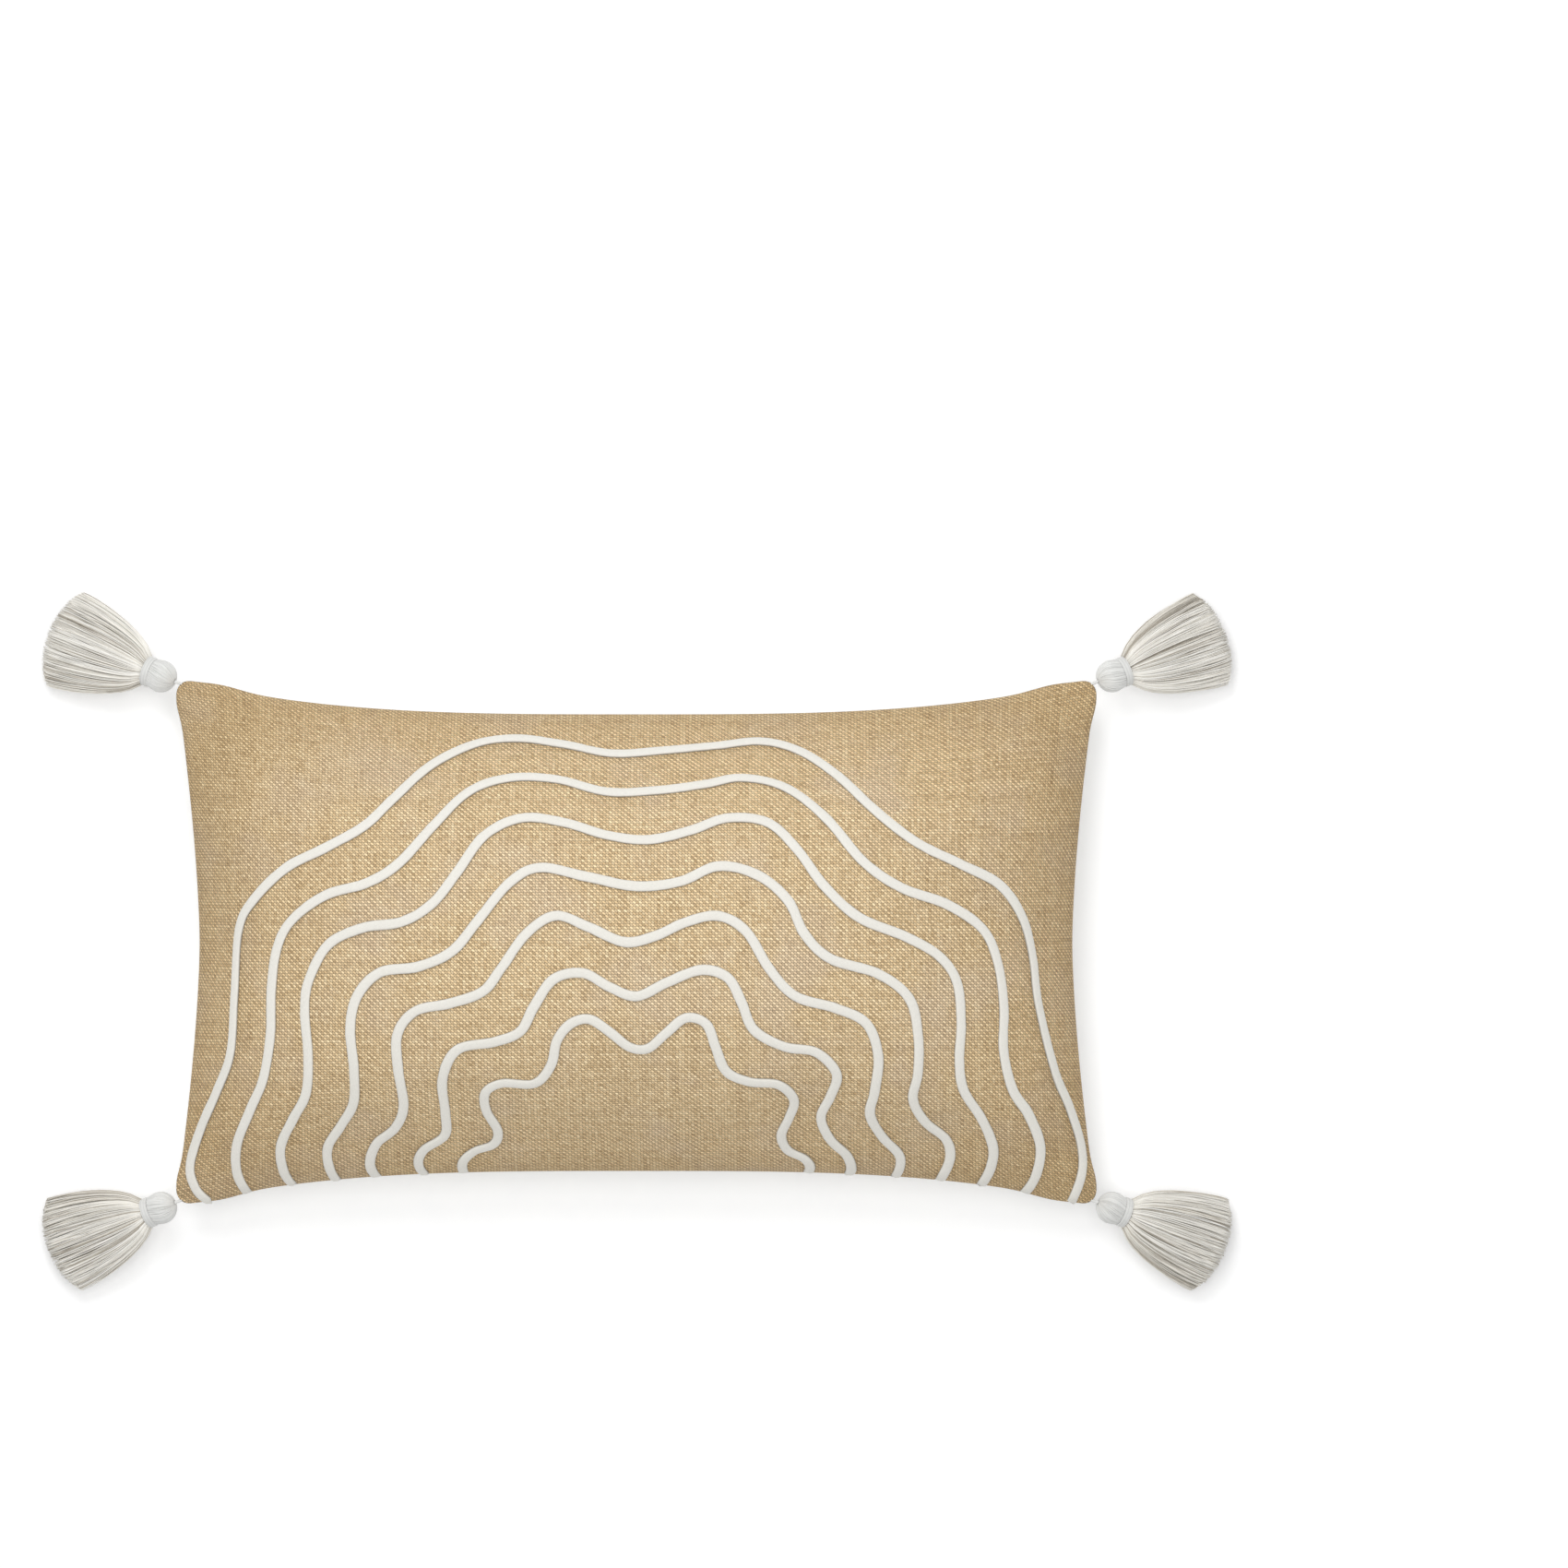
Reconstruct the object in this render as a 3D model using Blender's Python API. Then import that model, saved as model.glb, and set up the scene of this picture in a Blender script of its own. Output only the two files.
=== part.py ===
"""Lumbar throw pillow with appliqued cord arches, a lapped zip on its back and a tassel at each corner.

Units are metres and +Z is up. The pillow lies on its back: the jute face looks up, the cotton back
rests on the plane z = 0, +X runs along the long sides and +Y points at the top edge of the motif.
The origin is on the resting plane, under the middle of the object.
"""

import math

import bmesh
import bpy
from mathutils import Vector

MM = 0.001

# Driving dimensions of the cover
COVER_WIDTH = 610 * MM          # corner to corner along X
COVER_DEPTH = 349.4 * MM        # corner to corner along Y
CORNER_CUT = 2.9 * MM           # how far a rounded corner stands back from its square, in X and in Y
SIDE_PULL = 17 * MM             # how far the middle of a short side is pulled in
TOP_PULL = 24 * MM              # how far the middle of a long side is pulled in
SEAM_HEIGHT = 55 * MM           # height of the edge seam at the middle of a side
CORNER_DROP = 19 * MM           # how much lower the seam is at a corner
FRONT_RISE = 85 * MM            # crown of the jute face above the seam
CLOTH = 1.2 * MM                # thickness of the cover cloths
SEAM_ALLOWANCE = 11 * MM        # width of the folded-in edge
SEAM_HALF_GAP = 1.3 * MM        # from the seam's mid plane to each panel's rim
SEAM_HALF_THICKNESS = 0.6 * MM
RIM_WIDTH = 2.5 * MM            # width of a panel's rim, where it meets the seam

COLUMNS, ROWS = 24, 16           # facets of the cover along X and along Y
INSERT_COLUMNS, INSERT_ROWS = 16, 10

# Lapped zip on the back, near the top edge. Its line is an arc in a plane of constant y.
ZIP_Y = 111 * MM
ZIP_Z = 10 * MM
ZIP_RADIUS = 1400 * MM
ZIP_TILT = math.radians(28)     # slope of the back across the zip
TAPE_HALF_LENGTH = 272 * MM
COIL_HALF_LENGTH = 258 * MM
FLAP_HALF_LENGTH = 280 * MM
OPENING_HALF_WIDTH = 6 * MM
ZIP_STEPS = 20
SLIDER_REST = -250 * MM         # place of the slider along the zip when it is closed
SLIDER_HALF_LENGTH = 4.5 * MM
PULL_OUT = (1.35 * MM, 2.05 * MM)       # the pull's two faces, out of the back
PULL_HINGE_OUT = 1.7 * MM

# Sections across the zip, as (across, out) in millimetres. The slider's is the half at across > 0.
SLIDER_HALF_PROFILE = ((4, -3.2), (4, -2.55), (0.4, -2.55), (0.4, 0.3), (3.4, 0.3), (3.4, -1.0), (4, -1.0),
                       (4, 1.0), (0.5, 1.0), (0.5, 2.1))
FLAP_PROFILE = ((11, 0.5), (8, 1.9), (5, 3.7), (2.5, 4.4), (-2.5, 4.4), (-6, 3.3), (-9, 1.8), (-12, 0.5))
FLAP_STEPS = 24
FLAP_LOW = 0.5 * MM             # how high the flap's sewn parts lie
# The coil's section, as (share of its half width, out in millimetres)
COIL_SECTION = ((-1, -0.85), (-0.5, -1.25), (0.5, -1.25), (1, -0.85), (0.5, -0.1), (-0.5, -0.1))
# The pull's outline, as (along, across) in millimetres from the slider's middle
PULL_OUTLINE = ((-0.5, -2.4), (13, -1.8), (13, 1.8), (-0.5, 2.4), (-0.5, 0.8), (5.5, 0.8), (5.5, -0.8),
                (-0.5, -0.8))

# Tassels
TASSEL_ANGLE = math.radians(21)     # turn from X, outwards
TASSEL_DROOP = math.radians(16.3)   # how far the tassel hangs below the horizontal
STRING_PIVOT = 1.6 * MM         # from the corner to the point where the string bends
STRING_END = 3.7 * MM           # from the corner to the head
HEAD_RADIUS = 10.8 * MM
HEAD_GAP = 0.3 * MM             # between the string and the head

# A tassel's pieces, as (place along the axis, half width, half height) in millimetres. The string's
# places are from its bend, and the others are from the head's centre.
STRING_SECTIONS = ((-1.2, 0.5, 0.5), (-0.7, 1.1, 1.1), (0, 1.2, 1.2), (1.0, 1.2, 1.2), (2.0, 0.4, 0.4))
NECK_SECTIONS = ((8.2, 9.2, 9.2), (9.2, 10.1, 10.1), (11.0, 10.1, 10.1), (12.0, 9.6, 9.6))
SKIRT_SECTIONS = ((12.4, 10.4, 9.2), (18, 16.6, 10.4), (32, 23.6, 11.4), (50, 29.2, 12.0), (66, 31.4, 12.0),
                  (74, 31.5, 11.6), (79, 26, 9.5), (82.5, 14, 6))
HEAD_POLAR_ANGLES = (172, 150, 122, 94, 68, 44)     # degrees from the axis, from the string to the neck

# Appliqued cords on the face, as seen from above, in millimetres from the middle of the cover.
CORD_WIDTH = 6.2 * MM
CORD_THICKNESS = 2.6 * MM
CORD_LIFT = 1.5 * MM            # clears the facets of the face
CORD_STEP = 20 * MM
CORD_ROUTES_MM = (
    ((-283, -171), (-291, -162), (-294, -147), (-286, -122), (-274, -96), (-265, -72), (-262, -34),
     (-259, 9), (-249, 29), (-227, 50), (-201, 63), (-176, 77), (-158, 94), (-134, 116), (-106, 130),
     (-78, 134), (-47, 130), (-15, 124), (19, 126), (52, 129), (82, 132), (107, 126), (131, 111),
     (156, 88), (183, 67), (213, 52), (238, 39), (253, 18), (260, -8), (264, -40), (275, -84),
     (285, -108), (293, -133), (294, -152), (288, -171)),
    ((-258, -164), (-263, -151), (-262, -132), (-252, -108), (-243, -88), (-238, -60), (-237, -29),
     (-233, -2), (-223, 16), (-201, 32), (-174, 40), (-153, 53), (-131, 77), (-108, 99), (-82, 108),
     (-51, 107), (-18, 99), (16, 100), (46, 104), (70, 108), (98, 102), (125, 82), (149, 54),
     (174, 37), (204, 26), (227, 10), (237, -12), (241, -41), (241, -69), (247, -95), (258, -112),
     (266, -133), (264, -152), (258, -164)),
    ((-226, -161), (-232, -150), (-233, -133), (-224, -114), (-215, -97), (-213, -72), (-215, -44),
     (-212, -23), (-199, 0), (-176, 11), (-151, 15), (-131, 27), (-115, 47), (-97, 71), (-73, 82),
     (-45, 79), (-18, 71), (9, 68), (37, 74), (61, 82), (87, 79), (106, 62), (124, 38), (146, 18),
     (177, 5), (198, -7), (210, -24), (213, -51), (212, -75), (215, -95), (227, -114), (235, -133),
     (234, -147), (229, -158)),
    ((-196, -160), (-202, -147), (-202, -133), (-193, -119), (-184, -103), (-183, -81), (-185, -55),
     (-180, -33), (-165, -18), (-140, -14), (-118, -4), (-101, 16), (-81, 40), (-61, 50), (-30, 44),
     (2, 38), (30, 41), (55, 51), (81, 45), (100, 29), (111, 7), (128, -9), (159, -19), (179, -35),
     (185, -60), (185, -84), (182, -101), (190, -116), (204, -128), (207, -141), (201, -156)),
    ((-170, -157), (-175, -145), (-170, -131), (-157, -120), (-151, -105), (-154, -81), (-154, -58),
     (-142, -43), (-120, -38), (-98, -30), (-86, -15), (-70, 7), (-51, 19), (-30, 12), (-6, 2),
     (14, 6), (34, 15), (55, 19), (73, 9), (88, -15), (105, -33), (131, -41), (151, -51),
     (159, -72), (157, -95), (154, -111), (162, -126), (173, -138), (174, -147), (170, -156)),
    ((-137, -156), (-143, -145), (-139, -135), (-125, -125), (-124, -110), (-125, -87), (-115, -68),
     (-91, -63), (-74, -56), (-65, -40), (-52, -22), (-33, -18), (-16, -27), (2, -33), (22, -24),
     (44, -16), (61, -21), (70, -37), (78, -55), (98, -66), (119, -70), (132, -84), (128, -99),
     (122, -113), (128, -128), (139, -139), (142, -149), (137, -156)),
    ((-113, -155), (-114, -144), (-106, -136), (-93, -131), (-90, -122), (-97, -108), (-97, -96),
     (-86, -90), (-65, -90), (-54, -78), (-50, -62), (-41, -51), (-29, -48), (-16, -56), (-3, -66),
     (9, -67), (21, -57), (34, -47), (47, -51), (53, -66), (60, -82), (75, -89), (94, -91),
     (104, -101), (101, -113), (96, -125), (100, -135), (111, -141), (115, -147), (112, -155)),
)

CORNERS = {"top_right": (1, 1), "top_left": (-1, 1), "bottom_left": (-1, -1), "bottom_right": (1, -1)}


# ---------------------------------------------------------------- the cover's form


def clamp(value, low, high):
    return max(low, min(high, value))


def smoothstep(low, high, value):
    t = clamp((value - low) / (high - low), 0, 1)
    return t * t * (3 - 2 * t)


def ear(t):
    """Bump near 1 that keeps the edge straight beside a corner."""
    return 0.1 * math.exp(-(((t - 0.9) / 0.06) ** 2))


def outline_point(u, v):
    """Place seen from above of the cover's square parameters u and v, each from -1 to 1."""
    side = 1 - min(1, abs(v) ** 1.6 + ear(abs(v)))
    top = 1 - min(1, abs(u) ** 3.2 + ear(abs(u)))
    cut = CORNER_CUT * abs(u * v) ** 20
    x = u * (COVER_WIDTH / 2 - SIDE_PULL * side - cut)
    y = v * (COVER_DEPTH / 2 - TOP_PULL * top - cut)
    return x, y


def outline_params(x, y):
    """The u and v of a place seen from above."""
    u, v = 2 * x / COVER_WIDTH, 2 * y / COVER_DEPTH
    for _ in range(12):
        at_x, at_y = outline_point(clamp(u, -1, 1), clamp(v, -1, 1))
        u += 2 * (x - at_x) / COVER_WIDTH
        v += 2 * (y - at_y) / COVER_DEPTH
    return clamp(u, -0.985, 0.985), clamp(v, -0.985, 0.985)


def seam_height(u, v):
    return SEAM_HEIGHT - CORNER_DROP * abs(u * v) ** 3


def front_height(u, v):
    """Height of the face's outer side."""
    crown = (1 - abs(u) ** 2.6) ** 0.62 * (1 - abs(v) ** 2.2) ** 0.72
    return seam_height(u, v) + SEAM_HALF_GAP + (FRONT_RISE - SEAM_HALF_GAP) * crown


def zip_point(along, across, out):
    """A point by its place along the zip, across it towards the top edge, and out of the back."""
    height = ZIP_Z + across * math.sin(ZIP_TILT) - out * math.cos(ZIP_TILT)
    arm = ZIP_Z + ZIP_RADIUS - height
    turn = along / ZIP_RADIUS
    y = ZIP_Y + across * math.cos(ZIP_TILT) + out * math.sin(ZIP_TILT)
    return Vector((arm * math.sin(turn), y, ZIP_Z + ZIP_RADIUS - arm * math.cos(turn)))


def zip_band_height(x, y):
    """Height of the back's outer side in the band that carries the zip."""
    arm = ZIP_RADIUS - (y - ZIP_Y) * math.tan(ZIP_TILT)
    return ZIP_Z + ZIP_RADIUS - math.sqrt(arm * arm - x * x)


def back_height(u, v):
    """Height of the back's outer side: flat where it rests, and an even slope across the zip."""
    x, y = outline_point(u, v)
    bulge = (1 - abs(u) ** 3.2) ** 0.8 * (1 - abs(v) ** 3) ** 0.85
    rim = seam_height(u, v) - SEAM_HALF_GAP
    free = rim * (1 - min(1, 1.2 * bulge))
    near = 1 - smoothstep(12 * MM, 30 * MM, abs(y - ZIP_Y))
    near *= 1 - smoothstep(282 * MM, 291 * MM, abs(x))
    return free + (zip_band_height(x, y) - free) * near


def spaced(count, crowd):
    """count + 1 values from -1 to 1, closer together at the ends."""
    steps = [2 * i / count - 1 for i in range(count + 1)]
    return [crowd * math.sin(t * math.pi / 2) + (1 - crowd) * t for t in steps]


# ---------------------------------------------------------------- mesh helpers


def material(name, color, roughness=0.9, metallic=0.0):
    made = bpy.data.materials.get(name) or bpy.data.materials.new(name)
    made.use_nodes = True
    made.diffuse_color = (*color, 1)
    shader = made.node_tree.nodes["Principled BSDF"]
    shader.inputs["Base Color"].default_value = (*color, 1)
    shader.inputs["Roughness"].default_value = roughness
    shader.inputs["Metallic"].default_value = metallic
    return made


JUTE = material("jute_hessian", (0.56, 0.42, 0.24))
COTTON = material("natural_cotton", (0.83, 0.80, 0.73))
CORD_COTTON = material("cotton_cord", (0.85, 0.81, 0.72))
CASE_COTTON = material("insert_cotton", (0.86, 0.86, 0.84))
FIBRE = material("hollow_fibre", (0.9, 0.9, 0.9))
TASSEL_YARN = material("tassel_yarn", (0.66, 0.64, 0.58))
TASSEL_FELT = material("tassel_head_yarn", (0.66, 0.66, 0.63))
ZIP_TAPE = material("zip_tape", (0.8, 0.78, 0.72))
ZIP_COIL = material("zip_coil", (0.82, 0.81, 0.76), 0.45)
ZIP_METAL = material("zip_metal", (0.62, 0.6, 0.56), 0.35, 1.0)


def finish(name, mesh_data, look, parent=None, smooth=True):
    """Turns a bmesh into a named object, with its faces out and its origin at the parent's place."""
    bmesh.ops.recalc_face_normals(mesh_data, faces=mesh_data.faces)
    if mesh_data.calc_volume(signed=True) < 0:
        bmesh.ops.reverse_faces(mesh_data, faces=mesh_data.faces)
    mesh = bpy.data.meshes.new(name)
    mesh_data.to_mesh(mesh)
    mesh_data.free()
    if smooth:
        mesh.shade_smooth()
        mesh.set_sharp_from_angle(angle=math.radians(40))
    mesh.materials.append(look)
    made = bpy.data.objects.new(name, mesh)
    bpy.context.scene.collection.objects.link(made)
    if parent:
        place = parent.matrix_world.copy()
        mesh.transform(place.inverted())
        made.parent = parent
    return made


def pivot(name, place, parent=None):
    """An empty on a joint's axis, which carries the pieces that move about it."""
    made = bpy.data.objects.new(name, None)
    bpy.context.scene.collection.objects.link(made)
    made.empty_display_size = 10 * MM
    if parent:
        made.parent = parent
        made.matrix_parent_inverse = parent.matrix_world.inverted()
    made.location = place
    bpy.context.view_layer.update()
    return made


def sheet(name, outer, inner, look, parent=None):
    """A closed solid between two grids of points, which are lists of rows of the same size."""
    mesh = bmesh.new()
    faces = [[[mesh.verts.new(p) for p in row] for row in grid] for grid in (outer, inner)]
    rows, columns = len(outer), len(outer[0])
    for grid in faces:
        for i in range(rows - 1):
            for j in range(columns - 1):
                mesh.faces.new((grid[i][j], grid[i][j + 1], grid[i + 1][j + 1], grid[i + 1][j]))
    top, low = faces
    border = [(0, j) for j in range(columns)] + [(i, columns - 1) for i in range(1, rows)]
    border += [(rows - 1, j) for j in range(columns - 2, -1, -1)]
    border += [(i, 0) for i in range(rows - 2, 0, -1)]
    for k, (i, j) in enumerate(border):
        m, n = border[(k + 1) % len(border)]
        mesh.faces.new((top[i][j], top[m][n], low[m][n], low[i][j]))
    return finish(name, mesh, look, parent)


def swept(name, sections, look, parent=None, closed=False, smooth=True):
    """A closed solid through sections, each a ring of as many points. Its ends are capped unless closed."""
    mesh = bmesh.new()
    rings = [[mesh.verts.new(p) for p in ring] for ring in sections]
    size = len(rings[0])
    pairs = list(zip(rings, rings[1:]))
    if closed:
        pairs.append((rings[-1], rings[0]))
    else:
        mesh.faces.new(rings[0])
        mesh.faces.new(rings[-1])
    for one, two in pairs:
        for k in range(size):
            n = (k + 1) % size
            mesh.faces.new((one[k], one[n], two[n], two[k]))
    return finish(name, mesh, look, parent, smooth)


# ---------------------------------------------------------------- cover


def panel_point(height, u, v):
    return Vector((*outline_point(u, v), height(u, v)))


def inner_side(height, u, v, rim_gap):
    """The point of a panel's inner side behind (u, v), where height(u, v) gives its outer side."""
    if max(abs(u), abs(v)) > 0.9999:
        near_u = u * (1 - RIM_WIDTH / (COVER_WIDTH / 2))
        near_v = v * (1 - RIM_WIDTH / (COVER_DEPTH / 2))
        return Vector((*outline_point(near_u, near_v), seam_height(near_u, near_v) + rim_gap))
    step = 0.004
    left, right, near, far = [
        panel_point(height, clamp(u + i * step, -1, 1), clamp(v + j * step, -1, 1))
        for i, j in ((-1, 0), (1, 0), (0, -1), (0, 1))
    ]
    normal = (right - left).cross(far - near).normalized()
    if normal.z * rim_gap > 0:
        normal = -normal
    inside = panel_point(height, u, v) + normal * CLOTH
    rim = seam_height(u, v) + rim_gap
    inside.z = max(inside.z, rim) if rim_gap > 0 else min(inside.z, rim)
    return inside


def front_panel():
    outer, inner = [], []
    for v in spaced(ROWS, 0.7):
        outer.append([])
        inner.append([])
        for u in spaced(COLUMNS, 0.7):
            outer[-1].append((*outline_point(u, v), front_height(u, v)))
            inner[-1].append(inner_side(front_height, u, v, SEAM_HALF_GAP))
    sheet("front_panel", outer, inner, JUTE)


def opening_half_width(x):
    """Half the gap between the two back panels: the zip's opening, closed up beyond its ends."""
    return 0.25 * MM + (OPENING_HALF_WIDTH - 0.7 * MM) * (1 - smoothstep(270 * MM, 280 * MM, abs(x)))


def split_param(u, side):
    """The v of a back panel's edge along the zip, on the lower side (-1) or the upper side (1)."""
    v = ZIP_Y / (COVER_DEPTH / 2)
    for _ in range(12):
        x, y = outline_point(u, v)
        v += 2 * (ZIP_Y + side * opening_half_width(x) - y) / COVER_DEPTH
    return v


def back_panel(name, side, shares):
    """One of the two back panels. shares says where its rows lie, from the zip (0) to the far seam (1)."""
    outer, inner = [], []
    for share in shares:
        outer.append([])
        inner.append([])
        for u in spaced(COLUMNS, 0.7):
            edge = split_param(u, side)
            v = edge + (side - edge) * share
            outer[-1].append((*outline_point(u, v), back_height(u, v)))
            inner[-1].append(inner_side(back_height, u, v, -SEAM_HALF_GAP))
    sheet(name, outer, inner, COTTON)


def edge_seam():
    """The folded-in edges of both panels, stitched together all round."""
    columns, rows = spaced(COLUMNS, 0.7), spaced(ROWS, 0.7)
    loop = [(u, -1) for u in columns] + [(1, v) for v in rows[1:]]
    loop += [(u, 1) for u in reversed(columns[:-1])] + [(-1, v) for v in reversed(rows[1:-1])]
    share_u = 1 - SEAM_ALLOWANCE / (COVER_WIDTH / 2)
    share_v = 1 - SEAM_ALLOWANCE / (COVER_DEPTH / 2)
    sections = []
    for u, v in loop:
        near_u, near_v = u * share_u, v * share_v
        rim, fold = [], []
        for half in (-SEAM_HALF_THICKNESS, SEAM_HALF_THICKNESS):
            rim.append((*outline_point(u, v), seam_height(u, v) + half))
            fold.append((*outline_point(near_u, near_v), seam_height(near_u, near_v) + half))
        sections.append([rim[0], rim[1], fold[1], fold[0]])
    swept("edge_seam", sections, COTTON, closed=True)


def smooth_route(points, step):
    """Points about a step apart on a Catmull-Rom curve through the route's points."""
    ends = [points[0] * 2 - points[1], *points, points[-1] * 2 - points[-2]]
    route = []
    for a, b, c, d in zip(ends, ends[1:], ends[2:], ends[3:]):
        count = max(1, round((c - b).length / step))
        for k in range(count):
            t = k / count
            route.append(0.5 * ((2 * b) + (c - a) * t + (2 * a - 5 * b + 4 * c - d) * t ** 2
                                + (3 * b - a - 3 * c + d) * t ** 3))
    return route + [points[-1]]


def face_point(place):
    return panel_point(front_height, *outline_params(place.x, place.y))


def applique_cord(name, route_mm):
    """A flattened cord that lies on the face along its route."""
    route = smooth_route([Vector(p) * MM for p in route_mm], CORD_STEP)
    centre = [face_point(p) for p in route]
    sections = []
    for i, place in enumerate(centre):
        ahead = (centre[min(i + 1, len(centre) - 1)] - centre[max(i - 1, 0)]).normalized()
        beside = Vector((-ahead.y, ahead.x, 0)).normalized() * CORD_WIDTH
        left, right = face_point(place + beside), face_point(place - beside)
        normal = ahead.cross(left - right).normalized()
        if normal.z < 0:
            normal = -normal
        across = normal.cross(ahead)
        base = place + normal * CORD_LIFT
        half = CORD_WIDTH / 2
        top = base + normal * CORD_THICKNESS
        sections.append([base - across * half, base + across * half])
        sections[-1] += [top + across * half * 0.5, top - across * half * 0.5]
    swept(name, sections, CORD_COTTON)


# ---------------------------------------------------------------- insert


def insert_grid(front, insets, clearance, rim_gap):
    """Grid of one side of the insert: it fills the cover, less a clearance, and closes at its own rim."""
    grid = []
    for v in spaced(INSERT_ROWS, 0.7):
        grid.append([])
        for u in spaced(INSERT_COLUMNS, 0.7):
            inner_u, inner_v = u * insets[0], v * insets[1]
            x, y = outline_point(inner_u, inner_v)
            mid = seam_height(inner_u, inner_v)
            fullness = 1 - max(abs(u), abs(v)) ** 7
            if front:
                rim = mid + rim_gap
                z = rim + (front_height(inner_u, inner_v) - clearance - rim) * fullness
            else:
                rim = mid - rim_gap
                under_zip = 4.5 * MM * (1 - smoothstep(16 * MM, 34 * MM, abs(y - ZIP_Y)))
                z = rim + (back_height(inner_u, inner_v) + clearance + under_zip - rim) * fullness
            grid[-1].append((x, y, z))
    return grid


def insert():
    """The case's two halves, and the fibre inside them."""
    outside = {"insets": (0.945, 0.9), "rim_gap": 0.5 * MM}
    inside = {"insets": (0.925, 0.875), "rim_gap": 0.5 * MM}
    for name, front, clearance in (("front", True, 3.4 * MM), ("back", False, 2.6 * MM)):
        outer = insert_grid(front, clearance=clearance, **outside)
        inner = insert_grid(front, clearance=clearance + CLOTH, **inside)
        sheet(f"insert_case_{name}", outer, inner, CASE_COTTON)
    core = {"insets": (0.865, 0.79), "rim_gap": 1.2 * MM}
    top = insert_grid(True, clearance=6.6 * MM, **core)
    bottom = insert_grid(False, clearance=7.0 * MM, **core)
    sheet("fibre_fill", top, bottom, FIBRE)


# ---------------------------------------------------------------- zip and flap


def zip_strip(name, profile, half_length, look):
    """A strip with a constant section, a ring of (across, out) points, along the zip."""
    sections = []
    for i in range(ZIP_STEPS + 1):
        along = half_length * (2 * i / ZIP_STEPS - 1)
        sections.append([zip_point(along, across, out) for across, out in profile])
    return swept(name, sections, look)


def rectangle(across_low, across_high, out_low, out_high):
    return [(across_low, out_low), (across_high, out_low), (across_high, out_high), (across_low, out_high)]


def zip_block(name, along_low, along_high, profile, look, parent=None):
    """A short straight solid of the given (across, out) section between two places along the zip."""
    ends = [[zip_point(along, across, out) for across, out in profile] for along in (along_low, along_high)]
    return swept(name, ends, look, parent, smooth=False)


def zip_fastener():
    for name, side in (("upper", 1), ("lower", -1)):
        edges = sorted((side * 0.75 * MM, side * 9 * MM))
        tape = rectangle(*edges, -2.2 * MM, -1.6 * MM)
        zip_strip(f"zip_tape_{name}", tape, TAPE_HALF_LENGTH, ZIP_TAPE)
        middle, half = side * 1.9 * MM, 1.1 * MM
        coil = [(middle + share * half, out * MM) for share, out in COIL_SECTION]
        zip_strip(f"zip_coil_{name}", coil, COIL_HALF_LENGTH, ZIP_COIL)
    for name, side in (("left", -1), ("right", 1)):
        ends = sorted((side * (COIL_HALF_LENGTH + 0.6 * MM), side * (COIL_HALF_LENGTH + 4 * MM)))
        zip_block(f"zip_stop_{name}", *ends, rectangle(-2.8 * MM, 2.8 * MM, -1.25 * MM, 0.2 * MM), ZIP_METAL)


def mirrored(half_profile):
    """A closed profile from its half at across > 0, listed from its inner end to its outer end."""
    return half_profile + [(-across, out) for across, out in reversed(half_profile)]


def zip_runner():
    """The slider, with a web that passes between the coils, and the U-shaped pull on its lug."""
    centre = pivot("zip_travel_axis", (0, ZIP_Y, ZIP_Z + ZIP_RADIUS))
    profile = mirrored([(across * MM, out * MM) for across, out in SLIDER_HALF_PROFILE])
    ends = SLIDER_REST - SLIDER_HALF_LENGTH, SLIDER_REST + SLIDER_HALF_LENGTH
    zip_block("zip_slider", *ends, profile, ZIP_METAL, centre)
    hinge = pivot("zip_pull_axis", zip_point(SLIDER_REST, 0, PULL_HINGE_OUT), centre)
    faces = [[zip_point(SLIDER_REST + s * MM, a * MM, out) for s, a in PULL_OUTLINE] for out in PULL_OUT]
    swept("zip_pull", faces, ZIP_METAL, hinge, smooth=False)


def placket_flap():
    """The lapped flap over the zip: sewn down along its upper edge, and raised a little over the slider."""
    inner, outer = [], []
    for i in range(FLAP_STEPS + 1):
        along = FLAP_HALF_LENGTH * (2 * i / FLAP_STEPS - 1)
        raised = 1 - smoothstep(262 * MM, 278 * MM, abs(along))
        heights = [(a * MM, FLAP_LOW + (out * MM - FLAP_LOW) * raised) for a, out in FLAP_PROFILE]
        inner.append([zip_point(along, a, out) for a, out in heights])
        outer.append([zip_point(along, a, out + CLOTH) for a, out in heights])
    sheet("placket_flap", outer, inner, COTTON)


# ---------------------------------------------------------------- tassels


def turned(name, centre, forward, wide, sections, count, look, parent):
    """A solid through elliptic rings across the direction forward. Its sections are in millimetres."""
    high = forward.cross(wide)
    turns = [2 * math.pi * k / count for k in range(count)]
    rings = []
    for along, half_width, half_height in sections:
        middle = centre + forward * along * MM
        to_side, to_top = wide * half_width * MM, high * half_height * MM
        rings.append([middle + to_side * math.cos(t) + to_top * math.sin(t) for t in turns])
    swept(name, rings, look, parent)


def head_sections():
    sections = []
    for degrees in HEAD_POLAR_ANGLES:
        angle = math.radians(degrees)
        reach = HEAD_RADIUS * math.sin(angle) / MM
        sections.append((HEAD_RADIUS * math.cos(angle) / MM, reach, reach))
    return sections


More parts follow.
